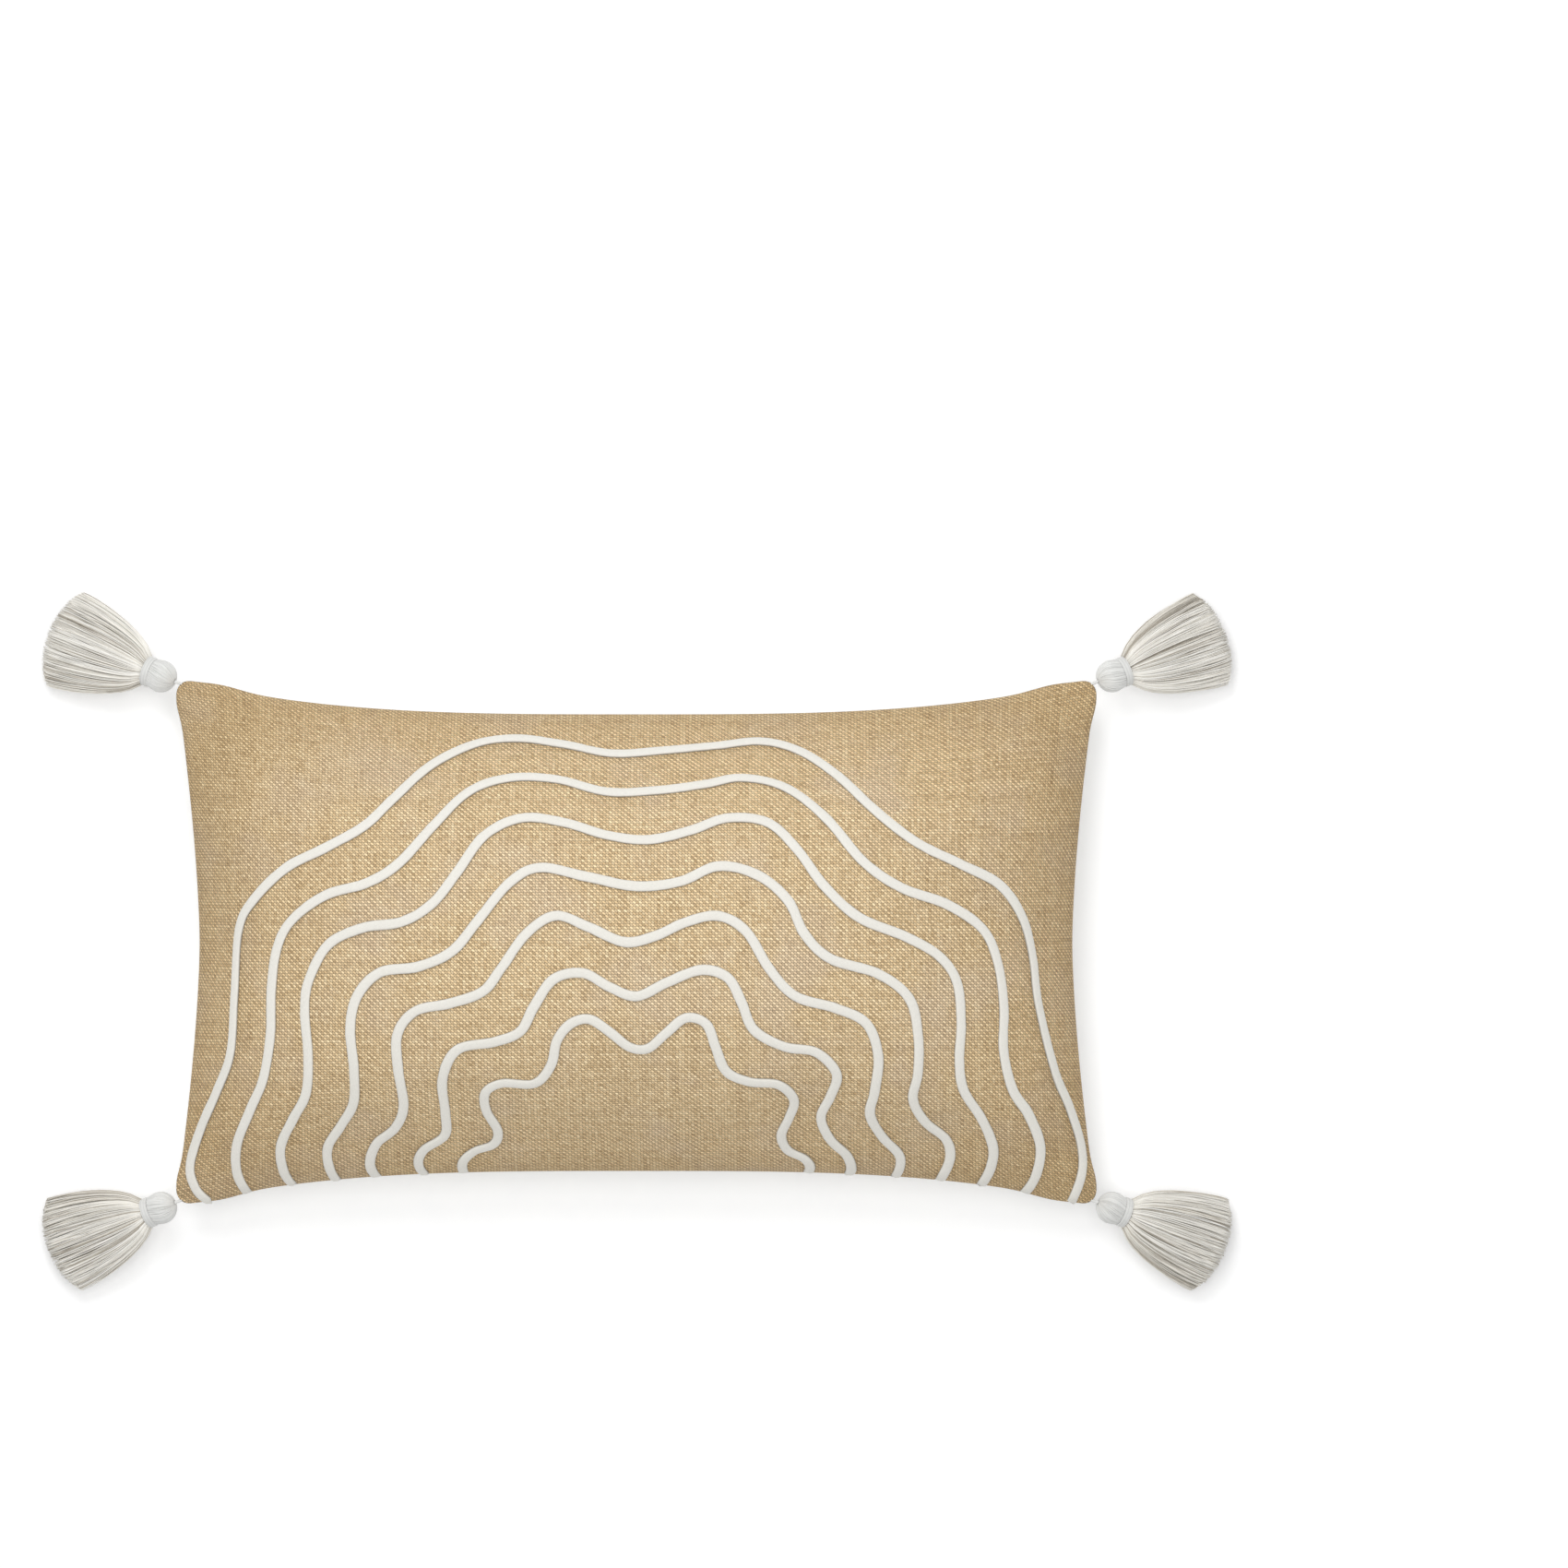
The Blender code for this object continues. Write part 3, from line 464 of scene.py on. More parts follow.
class Look:
    """A material in the making, with short ways to add and join its nodes."""

    def __init__(self, name, roughness=0.85, **sockets):
        self.material = bpy.data.materials.new(name)
        self.material.use_nodes = True
        self.tree = self.material.node_tree
        self.shader = self.tree.nodes["Principled BSDF"]
        self.shader.inputs["Roughness"].default_value = roughness
        for label, value in sockets.items():
            self.shader.inputs[label.replace("_", " ").title()].default_value = value

    def put(self, socket, value):
        if isinstance(value, bpy.types.NodeSocket):
            self.tree.links.new(value, socket)
        elif socket.type == "RGBA":
            socket.default_value = (*value, 1)
        else:
            socket.default_value = value

    def add(self, kind, *values, sockets=None, **settings):
        """A new node with these settings, and values or links on its first sockets and on named ones."""
        node = self.tree.nodes.new(f"ShaderNode{kind}")
        for label, value in settings.items():
            setattr(node, label, value)
        for socket, value in zip(node.inputs, values):
            self.put(socket, value)
        for label, value in (sockets or {}).items():
            self.put(next(socket for socket in node.inputs if label == socket.identifier), value)
        return node

    def math(self, operation, *values):
        return self.add("Math", *values, operation=operation).outputs[0]

    def attribute(self, name, output="Fac"):
        return self.add("Attribute", attribute_name=name).outputs[output]

    def place(self):
        """The point on the piece itself, in metres."""
        return self.add("TexCoord").outputs["Object"]

    def split(self, vector):
        return self.add("SeparateXYZ", vector).outputs

    def join(self, x, y, z=0.0):
        return self.add("CombineXYZ", x, y, z).outputs[0]

    def noise(self, vector, scale, detail=2.0, roughness=0.5, output="Fac"):
        sockets = {"Vector": vector, "Scale": scale, "Detail": detail, "Roughness": roughness}
        return self.add("TexNoise", sockets=sockets).outputs[output]

    def streaks(self, number, along, apart, per_metre, detail):
        """Noise along each thread, unlike its neighbours'."""
        place = self.join(self.math("MULTIPLY", number, apart), self.math("MULTIPLY", along, per_metre))
        return self.noise(place, 1.0, detail)

    def chance(self, number):
        """A random value from 0 to 1 for each whole number."""
        return self.add("TexWhiteNoise", noise_dimensions="1D", sockets={"W": number}).outputs["Value"]

    def remap(self, value, low, high, to_low=0.0, to_high=1.0, kind="SMOOTHSTEP"):
        return self.add("MapRange", value, low, high, to_low, to_high, interpolation_type=kind).outputs[0]

    def mix(self, share, one, two, kind="MIX"):
        sockets = {"Factor_Float": share, "A_Color": one, "B_Color": two}
        node = self.add("Mix", data_type="RGBA", blend_type=kind, sockets=sockets)
        return next(socket for socket in node.outputs if socket.identifier == "Result_Color")

    def dim(self, color, share):
        """The color times a number."""
        return self.mix(1.0, color, self.join(share, share, share), "MULTIPLY")

    def choose(self, share, one, two):
        """A number between one and two."""
        node = self.add("Mix", sockets={"Factor_Float": share, "A_Float": one, "B_Float": two})
        return next(socket for socket in node.outputs if socket.identifier == "Result_Float")

    def ramp(self, value, *stops):
        node = self.add("ValToRGB", value)
        elements = node.color_ramp.elements
        for number, (place, color) in enumerate(stops):
            element = elements[number] if number < 2 else elements.new(place)
            element.position, element.color = place, (*color, 1)
        return node.outputs[0]

    def bump(self, height, distance, strength=1.0):
        sockets = {"Height": height, "Distance": distance, "Strength": strength}
        return self.add("Bump", sockets=sockets).outputs[0]

    def weave(self, cloth, pitch_x, pitch_y, wobble, thread, lean=0.0):
        """A plain weave over the cloth: its height, whether the warp is on top, and thread coordinates.

        lean turns each float a little, as the yarns' twist does.
        """
        drift = self.split(self.noise(cloth, 26.0, 2.0, output="Color"))
        x, y, _ = self.split(cloth)
        columns = self.math("DIVIDE", self.math("MULTIPLY_ADD", drift[0], wobble, x), pitch_x)
        rows = self.math("DIVIDE", self.math("MULTIPLY_ADD", drift[1], wobble, y), pitch_y)
        column, row = self.math("FLOOR", columns), self.math("FLOOR", rows)

        def height(across, number, along):
            side = self.math("MULTIPLY", self.math("SUBTRACT", self.math("FRACT", across), 0.5), 2 / thread)
            fall = self.math("SUBTRACT", 1.0, self.math("MULTIPLY", side, side))
            round_top = self.math("SQRT", self.math("MAXIMUM", fall, 0.0))
            phase = self.math("ADD", self.math("SUBTRACT", along, 0.5), number)
            turn = self.math("MULTIPLY_ADD", phase, math.pi, self.math("MULTIPLY", side, lean))
            return round_top, self.math("COSINE", turn)

        rise, thickness = 0.7, 0.75
        warp_round, warp_wave = height(columns, column, rows)
        weft_round, weft_wave = height(rows, row, columns)
        warp = self.math("MULTIPLY_ADD", warp_wave, rise, self.math("MULTIPLY", warp_round, thickness))
        weft = self.math("MULTIPLY_ADD", weft_wave, -rise, self.math("MULTIPLY", weft_round, thickness))
        on_top = self.math("GREATER_THAN", warp, weft)
        number = self.choose(on_top, self.math("ADD", row, 400.5), self.math("ADD", column, 0.5))
        along = self.choose(on_top, x, y)
        crossing = self.math("MULTIPLY_ADD", column, 613.0, row)
        return self.math("MAXIMUM", warp, weft), on_top, number, along, crossing

    def done(self, color, normal=None):
        self.put(self.shader.inputs["Base Color"], color)
        if normal is not None:
            self.put(self.shader.inputs["Normal"], normal)
        return self.material


JUTE_PITCH_X, JUTE_PITCH_Y = 1.98 * MM, 1.84 * MM
JUTE_HALF_X, JUTE_HALF_Y = 0.31, 0.185  # of the face, along its cloth
JUTE_DARK, JUTE_BROWN, JUTE_GOLD = (0.40, 0.26, 0.12), (0.74, 0.55, 0.315), (0.97, 0.79, 0.51)
JUTE_PALE, JUTE_SLUB, JUTE_EDGE_SHADE = (0.69, 0.57, 0.46), (0.30, 0.19, 0.09), (0.79, 0.75, 0.67)


def jute_look():
    """Coarse jute yarns, each with a colour of its own, with pale patches and dark slubs, and with painted
    shade: darker edges, darker gaps between the threads and darker weft floats.
    """
    look = Look("jute_weave", roughness=0.8)
    cloth = look.attribute("cloth", "Vector")
    woven = look.weave(cloth, JUTE_PITCH_X, JUTE_PITCH_Y, 1.2 * MM, thread=0.94, lean=0.95)
    height, on_top, number, along, crossing = woven
    streak = look.streaks(number, along, 3.7, 60.0, 3.0)
    grain = look.noise(cloth, 900.0, 3.0, 0.6)
    shade = look.math("MULTIPLY", look.chance(number), 0.08)
    for part, weight in ((streak, 0.24), (look.chance(crossing), 0.12), (grain, 0.30)):
        shade = look.math("MULTIPLY_ADD", part, weight, shade)
    fibre = look.ramp(shade, (0.19, JUTE_DARK), (0.37, JUTE_BROWN), (0.55, JUTE_GOLD))
    patch = look.noise(cloth, 14.0, 3.0, 0.6)
    pale = look.mix(look.remap(patch, 0.45, 0.7, 0.0, 0.3), fibre, JUTE_PALE)
    slub = look.streaks(number, along, 5.3, 170.0, 1.0)
    slubbed = look.mix(look.remap(slub, 0.76, 0.82, 0.0, 0.6), pale, JUTE_SLUB)
    # Painted shade: the face turns darker and more saturated towards its edges, where it curves away from the
    # light.
    x, y, _ = look.split(cloth)
    near_x, near_y = (
        look.math("POWER", look.math("ABSOLUTE", look.math("DIVIDE", place, half)), 4.0)
        for place, half in ((x, JUTE_HALF_X), (y, JUTE_HALF_Y))
    )
    edge_shade_share = look.remap(look.math("ADD", near_x, near_y), 0.0, 1.0, kind="LINEAR")
    edge_shaded = look.mix(edge_shade_share, slubbed, JUTE_EDGE_SHADE, "MULTIPLY")
    # Painted shade: darker in the gaps between the threads, and each weft float darker than a warp float, as
    # the shaded and lit sides of the weave.
    painted_gap_shade = look.remap(height, 0.3, 1.35, 0.30, 1.13)
    color = look.dim(edge_shaded, look.math("MULTIPLY", painted_gap_shade, look.choose(on_top, 1.18, 0.82)))
    return look.done(color, look.bump(look.math("MULTIPLY_ADD", grain, 0.3, height), 0.4 * MM, 0.8))


def cotton_look(name, color, fleck, pitch=0.9 * MM, on_part=False):
    """Plain cotton. on_part is for pieces of the part itself, which carry no lengths along their cloth."""
    look = Look(name, roughness=0.88, sheen_weight=0.15, sheen_roughness=0.4)
    place = look.place() if on_part else look.attribute("cloth", "Vector")
    height, _, number, along, _ = look.weave(place, pitch, pitch, 0.5 * MM, thread=0.98)
    thread = look.chance(number)
    slub = look.streaks(number, along, 2.9, 160.0, 2.0)
    shade = look.math("ADD", look.math("MULTIPLY", thread, 0.4), look.math("MULTIPLY", slub, 0.6))
    base = look.mix(look.remap(shade, 0.2, 0.8), tuple(0.9 * c for c in color), color)
    spots = look.noise(place, 420.0, 3.0, 0.7)
    flecked = look.mix(look.remap(spots, 0.72, 0.80, 0.0, 0.6), base, fleck)
    shaded = look.dim(flecked, look.remap(height, 0.2, 1.1, 0.84, 1.02))
    return look.done(shaded, look.bump(height, 0.2 * MM, 0.6))


def felt_look(name, color, dark):
    """Soft matted fibres, with painted contact shadow: the attribute height darkens what lies low on a cord's
    flanks.
    """
    look = Look(name, roughness=0.95, sheen_weight=0.25, sheen_roughness=0.35)
    place = look.attribute("strand", "Vector")
    along = look.noise(place, 1.0, 4.0, 0.65)
    fuzz = look.noise(place, 4.0, 3.0, 0.6)
    mixed = look.mix(look.remap(look.math("ADD", along, fuzz), 0.7, 1.3), dark, color)
    # Painted contact shadow on the low flanks of a cord, next to the cloth.
    shaded = look.dim(mixed, look.remap(look.attribute("height"), -0.2, 0.75, 0.42, 1.0))
    normal = look.bump(look.math("MULTIPLY_ADD", along, 0.6, look.math("MULTIPLY", fuzz, 0.4)), 0.5 * MM, 0.7)
    return look.done(shaded, normal)


def yarn_look(name, dark, middle, light):
    """Fine yarn whose every strand has a shade of its own, in the attribute shade."""
    look = Look(name, roughness=0.6, sheen_weight=0.2, sheen_roughness=0.35)
    shade = look.attribute("shade")
    place = look.attribute("strand", "Vector")
    streak = look.noise(place, 1.0, 2.0)
    value = look.math("ADD", look.math("MULTIPLY", shade, 0.7), look.math("MULTIPLY", streak, 0.3))
    color = look.ramp(value, (0.1, dark), (0.5, middle), (0.9, light))
    return look.done(color, look.bump(streak, 0.15 * MM, 0.4))


def worn_look(name, color, roughness, metallic=0.0):
    """Moulded plastic or brushed metal with a fine uneven surface."""
    look = Look(name, roughness=roughness, metallic=metallic)
    grain = look.noise(look.place(), 900.0, 3.0)
    look.put(look.shader.inputs["Roughness"], look.remap(grain, 0.3, 0.7, roughness - 0.08, roughness + 0.12))
    tint = look.mix(look.remap(grain, 0.3, 0.7), tuple(0.85 * c for c in color), color)
    return look.done(tint, look.bump(grain, 0.05 * MM, 0.3))


JUTE = jute_look()
COTTON = cotton_look("natural_cotton", (0.88, 0.85, 0.78), (0.42, 0.34, 0.24))
CASE_COTTON = cotton_look("insert_cotton", (0.88, 0.88, 0.86), (0.8, 0.8, 0.8), 0.5 * MM)
CORD = felt_look("cotton_cord", (0.90, 0.875, 0.81), (0.80, 0.775, 0.71))
YARN = yarn_look("tassel_yarn", (0.38, 0.33, 0.26), (0.865, 0.835, 0.765), (0.98, 0.965, 0.925))
HEAD_YARN = yarn_look("tassel_head_yarn", (0.62, 0.62, 0.60), (0.76, 0.76, 0.74), (0.86, 0.86, 0.84))
FIBRE = felt_look("hollow_fibre", (0.93, 0.93, 0.93), (0.86, 0.86, 0.87))
ZIP_TAPE = cotton_look("zip_tape", (0.80, 0.78, 0.72), (0.7, 0.68, 0.62), 0.4 * MM, on_part=True)
ZIP_COIL = worn_look("zip_coil", (0.82, 0.81, 0.76), 0.4)
ZIP_METAL = worn_look("zip_metal", (0.62, 0.60, 0.56), 0.32, 1.0)
THREAD = yarn_look("sewing_thread", (0.72, 0.69, 0.62), (0.80, 0.77, 0.70), (0.86, 0.83, 0.77))


# ---------------------------------------------------------------- cover


def inner_grid(point, u, v, rim_gap):
    """The inner side of a panel: its outer side set in by the cloth, and no nearer the seam than the rim."""
    place, normal = surface_frame(point, u, v)
    inward = -1 if rim_gap > 0 else 1
    inside = place + normal * CLOTH * inward
    rim = seam_height(u, v) + rim_gap
    beyond = (inside[..., 2] - rim) * rim_gap < 0
    inside[..., 2] = np.where(beyond, rim, inside[..., 2])
    edge = np.maximum(np.abs(u), np.abs(v)) > 0.9999
    set_in_u, set_in_v = u * (1 - 4 * CLOTH / COVER_WIDTH), v * (1 - 4 * CLOTH / COVER_DEPTH)
    x, y = outline(set_in_u, set_in_v)
    inside[edge] = np.stack([x, y, rim], axis=-1)[edge]
    return inside


def make_front():
    u, v = np.meshgrid(*cover_params(COVER_COLUMNS, COVER_ROWS))
    outer = front_point(u, v)
    return shell("jute_face", outer, inner_grid(front_point, u, v, SEAM_HALF_GAP), JUTE)


def opening_half_width(x):
    return 0.25 * MM + (OPENING_HALF_WIDTH - 0.7 * MM) * (1 - smoothstep(270 * MM, 280 * MM, np.abs(x)))


def split_param(u, side):
    """The v of a back panel's edge along the zip, on the lower side (-1) or the upper side (1)."""
    v = np.full_like(u, ZIP_Y / (COVER_DEPTH / 2))
    for _ in range(14):
        x, y = outline(u, v)
        v = v + 2 * (ZIP_Y + side * opening_half_width(x) - y) / COVER_DEPTH
    return v


def make_back(name, side, rows):
    shares = np.sin(np.linspace(0, 1, rows + 1) * math.pi / 2)
    u, share = np.meshgrid(cover_params(COVER_COLUMNS, COVER_ROWS)[0], shares)
    edge = split_param(u, side)
    v = edge + (side - edge) * share
    v[-1] = side
    outer = back_point(u, v)
    return shell(name, outer, inner_grid(back_point, u, v, -SEAM_HALF_GAP), COTTON)


def make_edge_seam():
    """The folded-in edges of the panels, as one ring with a rounded outer edge."""
    u, v = (border_of(grid) for grid in np.meshgrid(*cover_params(COVER_COLUMNS, COVER_ROWS)))
    profile = ((1.4, 0.0), (1.6, 0.35), (2.2, 0.55), (11, 0.55), (11, -0.55), (2.2, -0.55), (1.6, -0.35))
    rings = []
    for inset, out in profile:
        near_u, near_v = u * (1 - inset * MM / (COVER_WIDTH / 2)), v * (1 - inset * MM / (COVER_DEPTH / 2))
        rings.append(np.stack([*outline(near_u, near_v), seam_height(near_u, near_v) + out * MM], axis=-1))
    grid = np.stack(rings, axis=1)
    ids = np.arange(grid.shape[0] * grid.shape[1]).reshape(grid.shape[:2])
    after, up = np.roll(ids, -1, axis=0), np.roll(ids, -1, axis=1)
    faces = np.stack([ids, after, np.roll(after, -1, axis=1), up], axis=-1).reshape(-1, 4)
    points = grid.reshape(-1, 3)
    return add_object("edge_seam_allowance", points, faces, COTTON, attributes={"cloth": points})


def smooth_route(points, step):
    """Points about a step apart on a Catmull-Rom curve through the route's points."""
    ends = np.concatenate([[points[0] * 2 - points[1]], points, [points[-1] * 2 - points[-2]]])
    route = []
    for a, b, c, d in zip(ends, ends[1:], ends[2:], ends[3:]):
        count = max(1, round(float(np.linalg.norm(c - b)) / step))
        t = (np.arange(count) / count)[:, None]
        curve = 2 * b + (c - a) * t + (2 * a - 5 * b + 4 * c - d) * t**2 + (3 * b - a - 3 * c + d) * t**3
        route.append(0.5 * curve)
    return np.concatenate([*route, [points[-1]]])


def wavy(rng, count, step, size):
    """A smooth random line of count values, with a knot every step values."""
    knots = rng.uniform(-1, 1, count // step + 3)
    return size * np.interp(np.arange(count) / step, np.arange(len(knots)), knots)


def make_cord(number, route_mm):
    """A soft flattened cord that lies on the face."""
    rng = np.random.default_rng(number)
    route = np.array(route_mm, float) * MM
    before, after = unit(route[0] - route[1]), unit(route[-1] - route[-2])
    route = np.concatenate([[route[0] + CORD_LEAD * before], route, [route[-1] + CORD_LEAD * after]])
    route = smooth_route(route, CORD_STEP)
    u, v, inside = params_on_face(route[:, 0], route[:, 1])
    first, last = np.flatnonzero(inside)[[0, -1]]
    kept = slice(max(first - 1, 0), last + 2)
    place, normal = surface_frame(front_point, u[kept], v[kept])
    ahead = unit(np.gradient(place, axis=0))
    across = unit(np.cross(normal, ahead))
    sides = 16
    turns = 2 * math.pi * np.arange(sides) / sides
    flat = np.sign(np.cos(turns)) * np.abs(np.cos(turns)) ** 0.7
    tall = np.sign(np.sin(turns)) * np.abs(np.sin(turns)) ** 0.8
    count = len(place)
    from_end = np.minimum(np.arange(count), np.arange(count)[::-1]) * CORD_STEP
    thickness = CORD_THICKNESS * (0.4 + 0.6 * smoothstep(0, 7 * MM, from_end))
    width = CORD_WIDTH / 2 * (1 + wavy(rng, count, 3, 0.03) + wavy(rng, count, 14, 0.03))
    lean = wavy(rng, count, 9, 0.12 * MM)
    rough = 1 + rng.uniform(-0.025, 0.025, (count, sides))
    centre = place + normal * (thickness / 2 - 0.35 * MM)[:, None] + across * lean[:, None]
    ring = across[:, None] * (flat * rough * width[:, None])[..., None]
    ring += normal[:, None] * (tall * rough * thickness[:, None] / 2)[..., None]
    points = centre[:, None] + ring
    faces = tube_faces(np.arange(count * sides).reshape(1, count, sides))
    length = np.concatenate([[0], np.cumsum(np.linalg.norm(np.diff(place, axis=0), axis=1))])
    strand = np.zeros((count, sides, 3))
    strand[..., 0] = length[:, None] * 420
    strand[..., 1] = flat * width[:, None] * 1900
    strand[..., 2] = tall * 2 + number * 40
    # height carries the painted contact shadow on the cord's low flanks.
    attributes = {"strand": strand.reshape(-1, 3), "height": np.tile(tall, count)}
    return add_object(f"cord_{number}", points.reshape(-1, 3), faces, CORD, attributes=attributes)


def insert_grids(inset_x, inset_y, clearance, rim_gap):
    """The two sides of the insert, which fills the cover, less a clearance, and closes at its own rim."""
    u, v = np.meshgrid(*(np.sin(np.linspace(-1, 1, count) * math.pi / 2) for count in (81, 53)))
    inner_u, inner_v = u * inset_x, v * inset_y
    mid = seam_height(inner_u, inner_v)
    fullness = 1 - np.maximum(np.abs(u), np.abs(v)) ** 7
    grids = []
    for point, way in ((plain_front, 1), (plain_back, -1)):
        grid = point(inner_u, inner_v)
        under_zip = 4.5 * MM * (1 - smoothstep(16 * MM, 34 * MM, np.abs(grid[..., 1] - ZIP_Y))) * (way < 0)
        rim = mid + way * rim_gap
        grid[..., 2] = rim + (grid[..., 2] - way * clearance + under_zip - rim) * fullness
        grids.append(grid)
    return grids


def make_insert():
    case = insert_grids(0.945, 0.9, 3.6 * MM, 0.5 * MM)
    inside = insert_grids(0.925, 0.875, 4.6 * MM, 0.5 * MM)
    core = insert_grids(0.865, 0.79, 6.8 * MM, 1.2 * MM)
    front = shell("insert_front", case[0], inside[0], CASE_COTTON)
    back = shell("insert_back", case[1], inside[1], CASE_COTTON)
    fill = shell("fibre_wadding", core[0], core[1], FIBRE)
    add_attribute(fill.data, "strand", places_of(fill.data) * 60)
    add_attribute(fill.data, "height", np.ones(len(fill.data.vertices)))
    return front, back, fill


def flap_raised(along):
    """1 where the flap stands over the zip, and 0 at its sewn ends."""
    return 1 - smoothstep(262 * MM, 278 * MM, np.abs(along))


def make_flap():
    """The lapped flap over the zip, sewn down along its upper edge."""
    tent = np.array([
        (11, 0.5), (9.5, 1.1), (8, 1.9), (6.5, 2.8), (5, 3.7), (3.8, 4.2), (2.5, 4.4), (0, 4.5), (-2.5, 4.4),
        (-4.2, 4.0), (-6, 3.3), (-7.5, 2.6), (-9, 1.8), (-10.5, 1.1), (-12, 0.5),
    ]) * MM
    along = np.linspace(-FLAP_HALF_LENGTH, FLAP_HALF_LENGTH, 201)[:, None]
    ripple = 0.25 * MM * np.sin(along / (17 * MM)) * np.sin(along / (61 * MM))
    out = SEWN_DOWN + (tent[:, 1] - SEWN_DOWN) * flap_raised(along)
    share = smoothstep(0, 4 * MM, tent[:, 1])
    inner = zip_point(along, tent[:, 0], out + ripple * share)
    outer = zip_point(along, tent[:, 0], out + ripple * share + CLOTH)
    return shell("zip_placket", outer, inner, COTTON)


def stitches(name, starts, ends, normals, radius, rise):
    """Short threads that rise out of the cloth and dive back in, as one object."""
    t = np.linspace(0, 1, 7)[:, None]
    paths = starts[:, None] * (1 - t) + ends[:, None] * t
    paths = paths + normals[:, None] * (rise * np.sin(t * math.pi))
    radii = np.full(paths.shape[:2], radius)
    points, faces = tubes(paths, radii, 6)
    each = np.repeat(np.random.default_rng(5).uniform(0.2, 0.8, len(starts)), 7 * 6)
    return add_object(name, points, faces, THREAD, attributes={"shade": each, "strand": points * 900})


def make_flap_stitches():
    """A row of topstitching along the flap's sewn edge, and a bar tack at each end."""
    step, length = 3.6 * MM, 2.9 * MM
    along = np.arange(-FLAP_HALF_LENGTH + 3 * MM, FLAP_HALF_LENGTH - 5 * MM, step)
    rise = SEWN_DOWN + CLOTH + 0.6 * MM * flap_raised(along)
    starts = zip_point(along, STITCH_ROW, rise)
    ends = zip_point(along + length, STITCH_ROW, rise)
    across = np.linspace(-10 * MM, 8 * MM, 9)
    for side in (-1, 1):
        at = side * (FLAP_HALF_LENGTH - 2 * MM)
        for k in (0, 0.9 * MM, 1.8 * MM):
            starts = np.concatenate([starts, zip_point(at - side * k, across[:-1], SEWN_DOWN + CLOTH)])
            ends = np.concatenate([ends, zip_point(at - side * k, across[:-1] + 1.9 * MM, SEWN_DOWN + CLOTH)])
    out = unit(zip_point(0, 0, 1) - zip_point(0, 0, 0))
    return stitches("placket_stitches", starts, ends, np.broadcast_to(out, starts.shape), 0.22 * MM, 0.3 * MM)


# ---------------------------------------------------------------- tassels


def tassel_frame(side_x, side_y):
    """Corner, head centre and the directions along, across and up of a tassel, as in the part."""
    level = np.array([side_x * math.cos(TASSEL_ANGLE), side_y * math.sin(TASSEL_ANGLE), 0])
    axis = level * math.cos(TASSEL_DROOP) + np.array([0, 0, -math.sin(TASSEL_DROOP)])
    wide = unit(np.cross(level, np.array([0, 0, -1.0])))
    high = np.cross(axis, wide)
    high = high * (1 if high[2] > 0 else -1)
    one = np.array(1.0)
    corner = np.array([*outline(side_x * one, side_y * one), seam_height(one, one)])
    head = corner + level * STRING_END + axis * (HEAD_RADIUS + 0.3 * MM)
    return corner, level, head, axis, wide, high


def place_in(frame_of, along, across, up):
    """Points of a tassel by their distances from the head's centre."""
    _, _, head, axis, wide, high = frame_of
    along, across, up = np.broadcast_arrays(along, across, up)
    return head + along[..., None] * axis + across[..., None] * wide + up[..., None] * high


def make_skirt(corner, at):
    """Loose yarns that fan out from the neck, over a closed core that keeps them from being seen through,
    nearly black as painted shadow between the yarns.
    """
    rng = np.random.default_rng(sorted(CORNERS).index(corner) + 11)
    outer, inner, length, sides = SKIRT_OUTER_YARNS, SKIRT_INNER_YARNS, 12, 5
    strands = outer + inner
    t = np.linspace(0, 1, length)
    turn = rng.uniform(0, 2 * math.pi, strands)
    share = np.sqrt(np.concatenate([rng.uniform(0.5, 1.0, outer), rng.uniform(0, 0.5, inner)]))
    start = np.concatenate([np.full(outer, SKIRT_START), np.full(inner, SKIRT_INNER_START)])[:, None]
    reach = SKIRT_LENGTH * (1 - 0.02 * rng.uniform(0, 1, strands) ** 2 - 0.03 * (np.cos(turn) * share) ** 4)
    along_now = start + (reach[:, None] - start) * t
    wide_now = np.interp(along_now, SKIRT_KNOTS, SKIRT_HALF_WIDTHS)
    high_now = np.interp(along_now, SKIRT_KNOTS, SKIRT_HALF_HEIGHTS)
    drift = rng.normal(0, 0.03, (strands, 1)) * t**2
    across = wide_now * (np.cos(turn) * share)[:, None] + 30 * MM * drift
    up = high_now * (np.sin(turn) * share)[:, None] + 15 * MM * rng.normal(0, 0.02, (strands, 1)) * t**2
    across += wavy_rows(rng, strands, length, 0.4 * MM) * t
    up += wavy_rows(rng, strands, length, 0.3 * MM) * t
    beyond = np.minimum(reach[:, None] / np.hypot(along_now, across), 1)
    paths = place_in(at, along_now * beyond, across * beyond, up)
    radii = np.broadcast_to(rng.uniform(0.24, 0.36, (strands, 1)) * MM * (1 - 0.1 * t), paths.shape[:2])
    paths[..., 2] = np.maximum(paths[..., 2], radii)
    points, faces = tubes(paths, radii, sides)
    # Painted shade: the yarns on one side of the skirt are greyer, as its shaded side.
    shaded_side = smoothstep(0.35, 1.0, CORNERS[corner][1] * np.cos(turn) * share)
    plain = rng.uniform(0.36, 0.98, strands) - 0.3 * shaded_side
    shade = np.repeat(np.where(rng.random(strands) < SKIRT_DARK_SHARE, 0.05, plain), length * sides)
    strand = np.repeat(rng.uniform(0, 50, strands), length * sides)
    coordinate = np.stack([strand, np.tile(np.repeat(t, sides), strands) * 14, 0 * strand], axis=-1)
    along = np.array([8, 12, 18, 32, 50, 62, 68])[:, None] * MM
    wide = np.array([6, 8, 12, 18, 22, 21, 15])[:, None] * MM
    high = np.array([6, 6.8, 7.2, 7.8, 7.6, 6.4, 3.5])[:, None] * MM
    turns = 2 * math.pi * np.arange(20) / 20
    core = place_in(at, along, wide * np.cos(turns), high * np.sin(turns))
    yarns = (points, faces, shade, coordinate)
    # The core's shade of 0.05 is painted shadow deep between the yarns.
    return with_core(f"tassel_skirt_{corner}", yarns, core, 0.05, YARN)


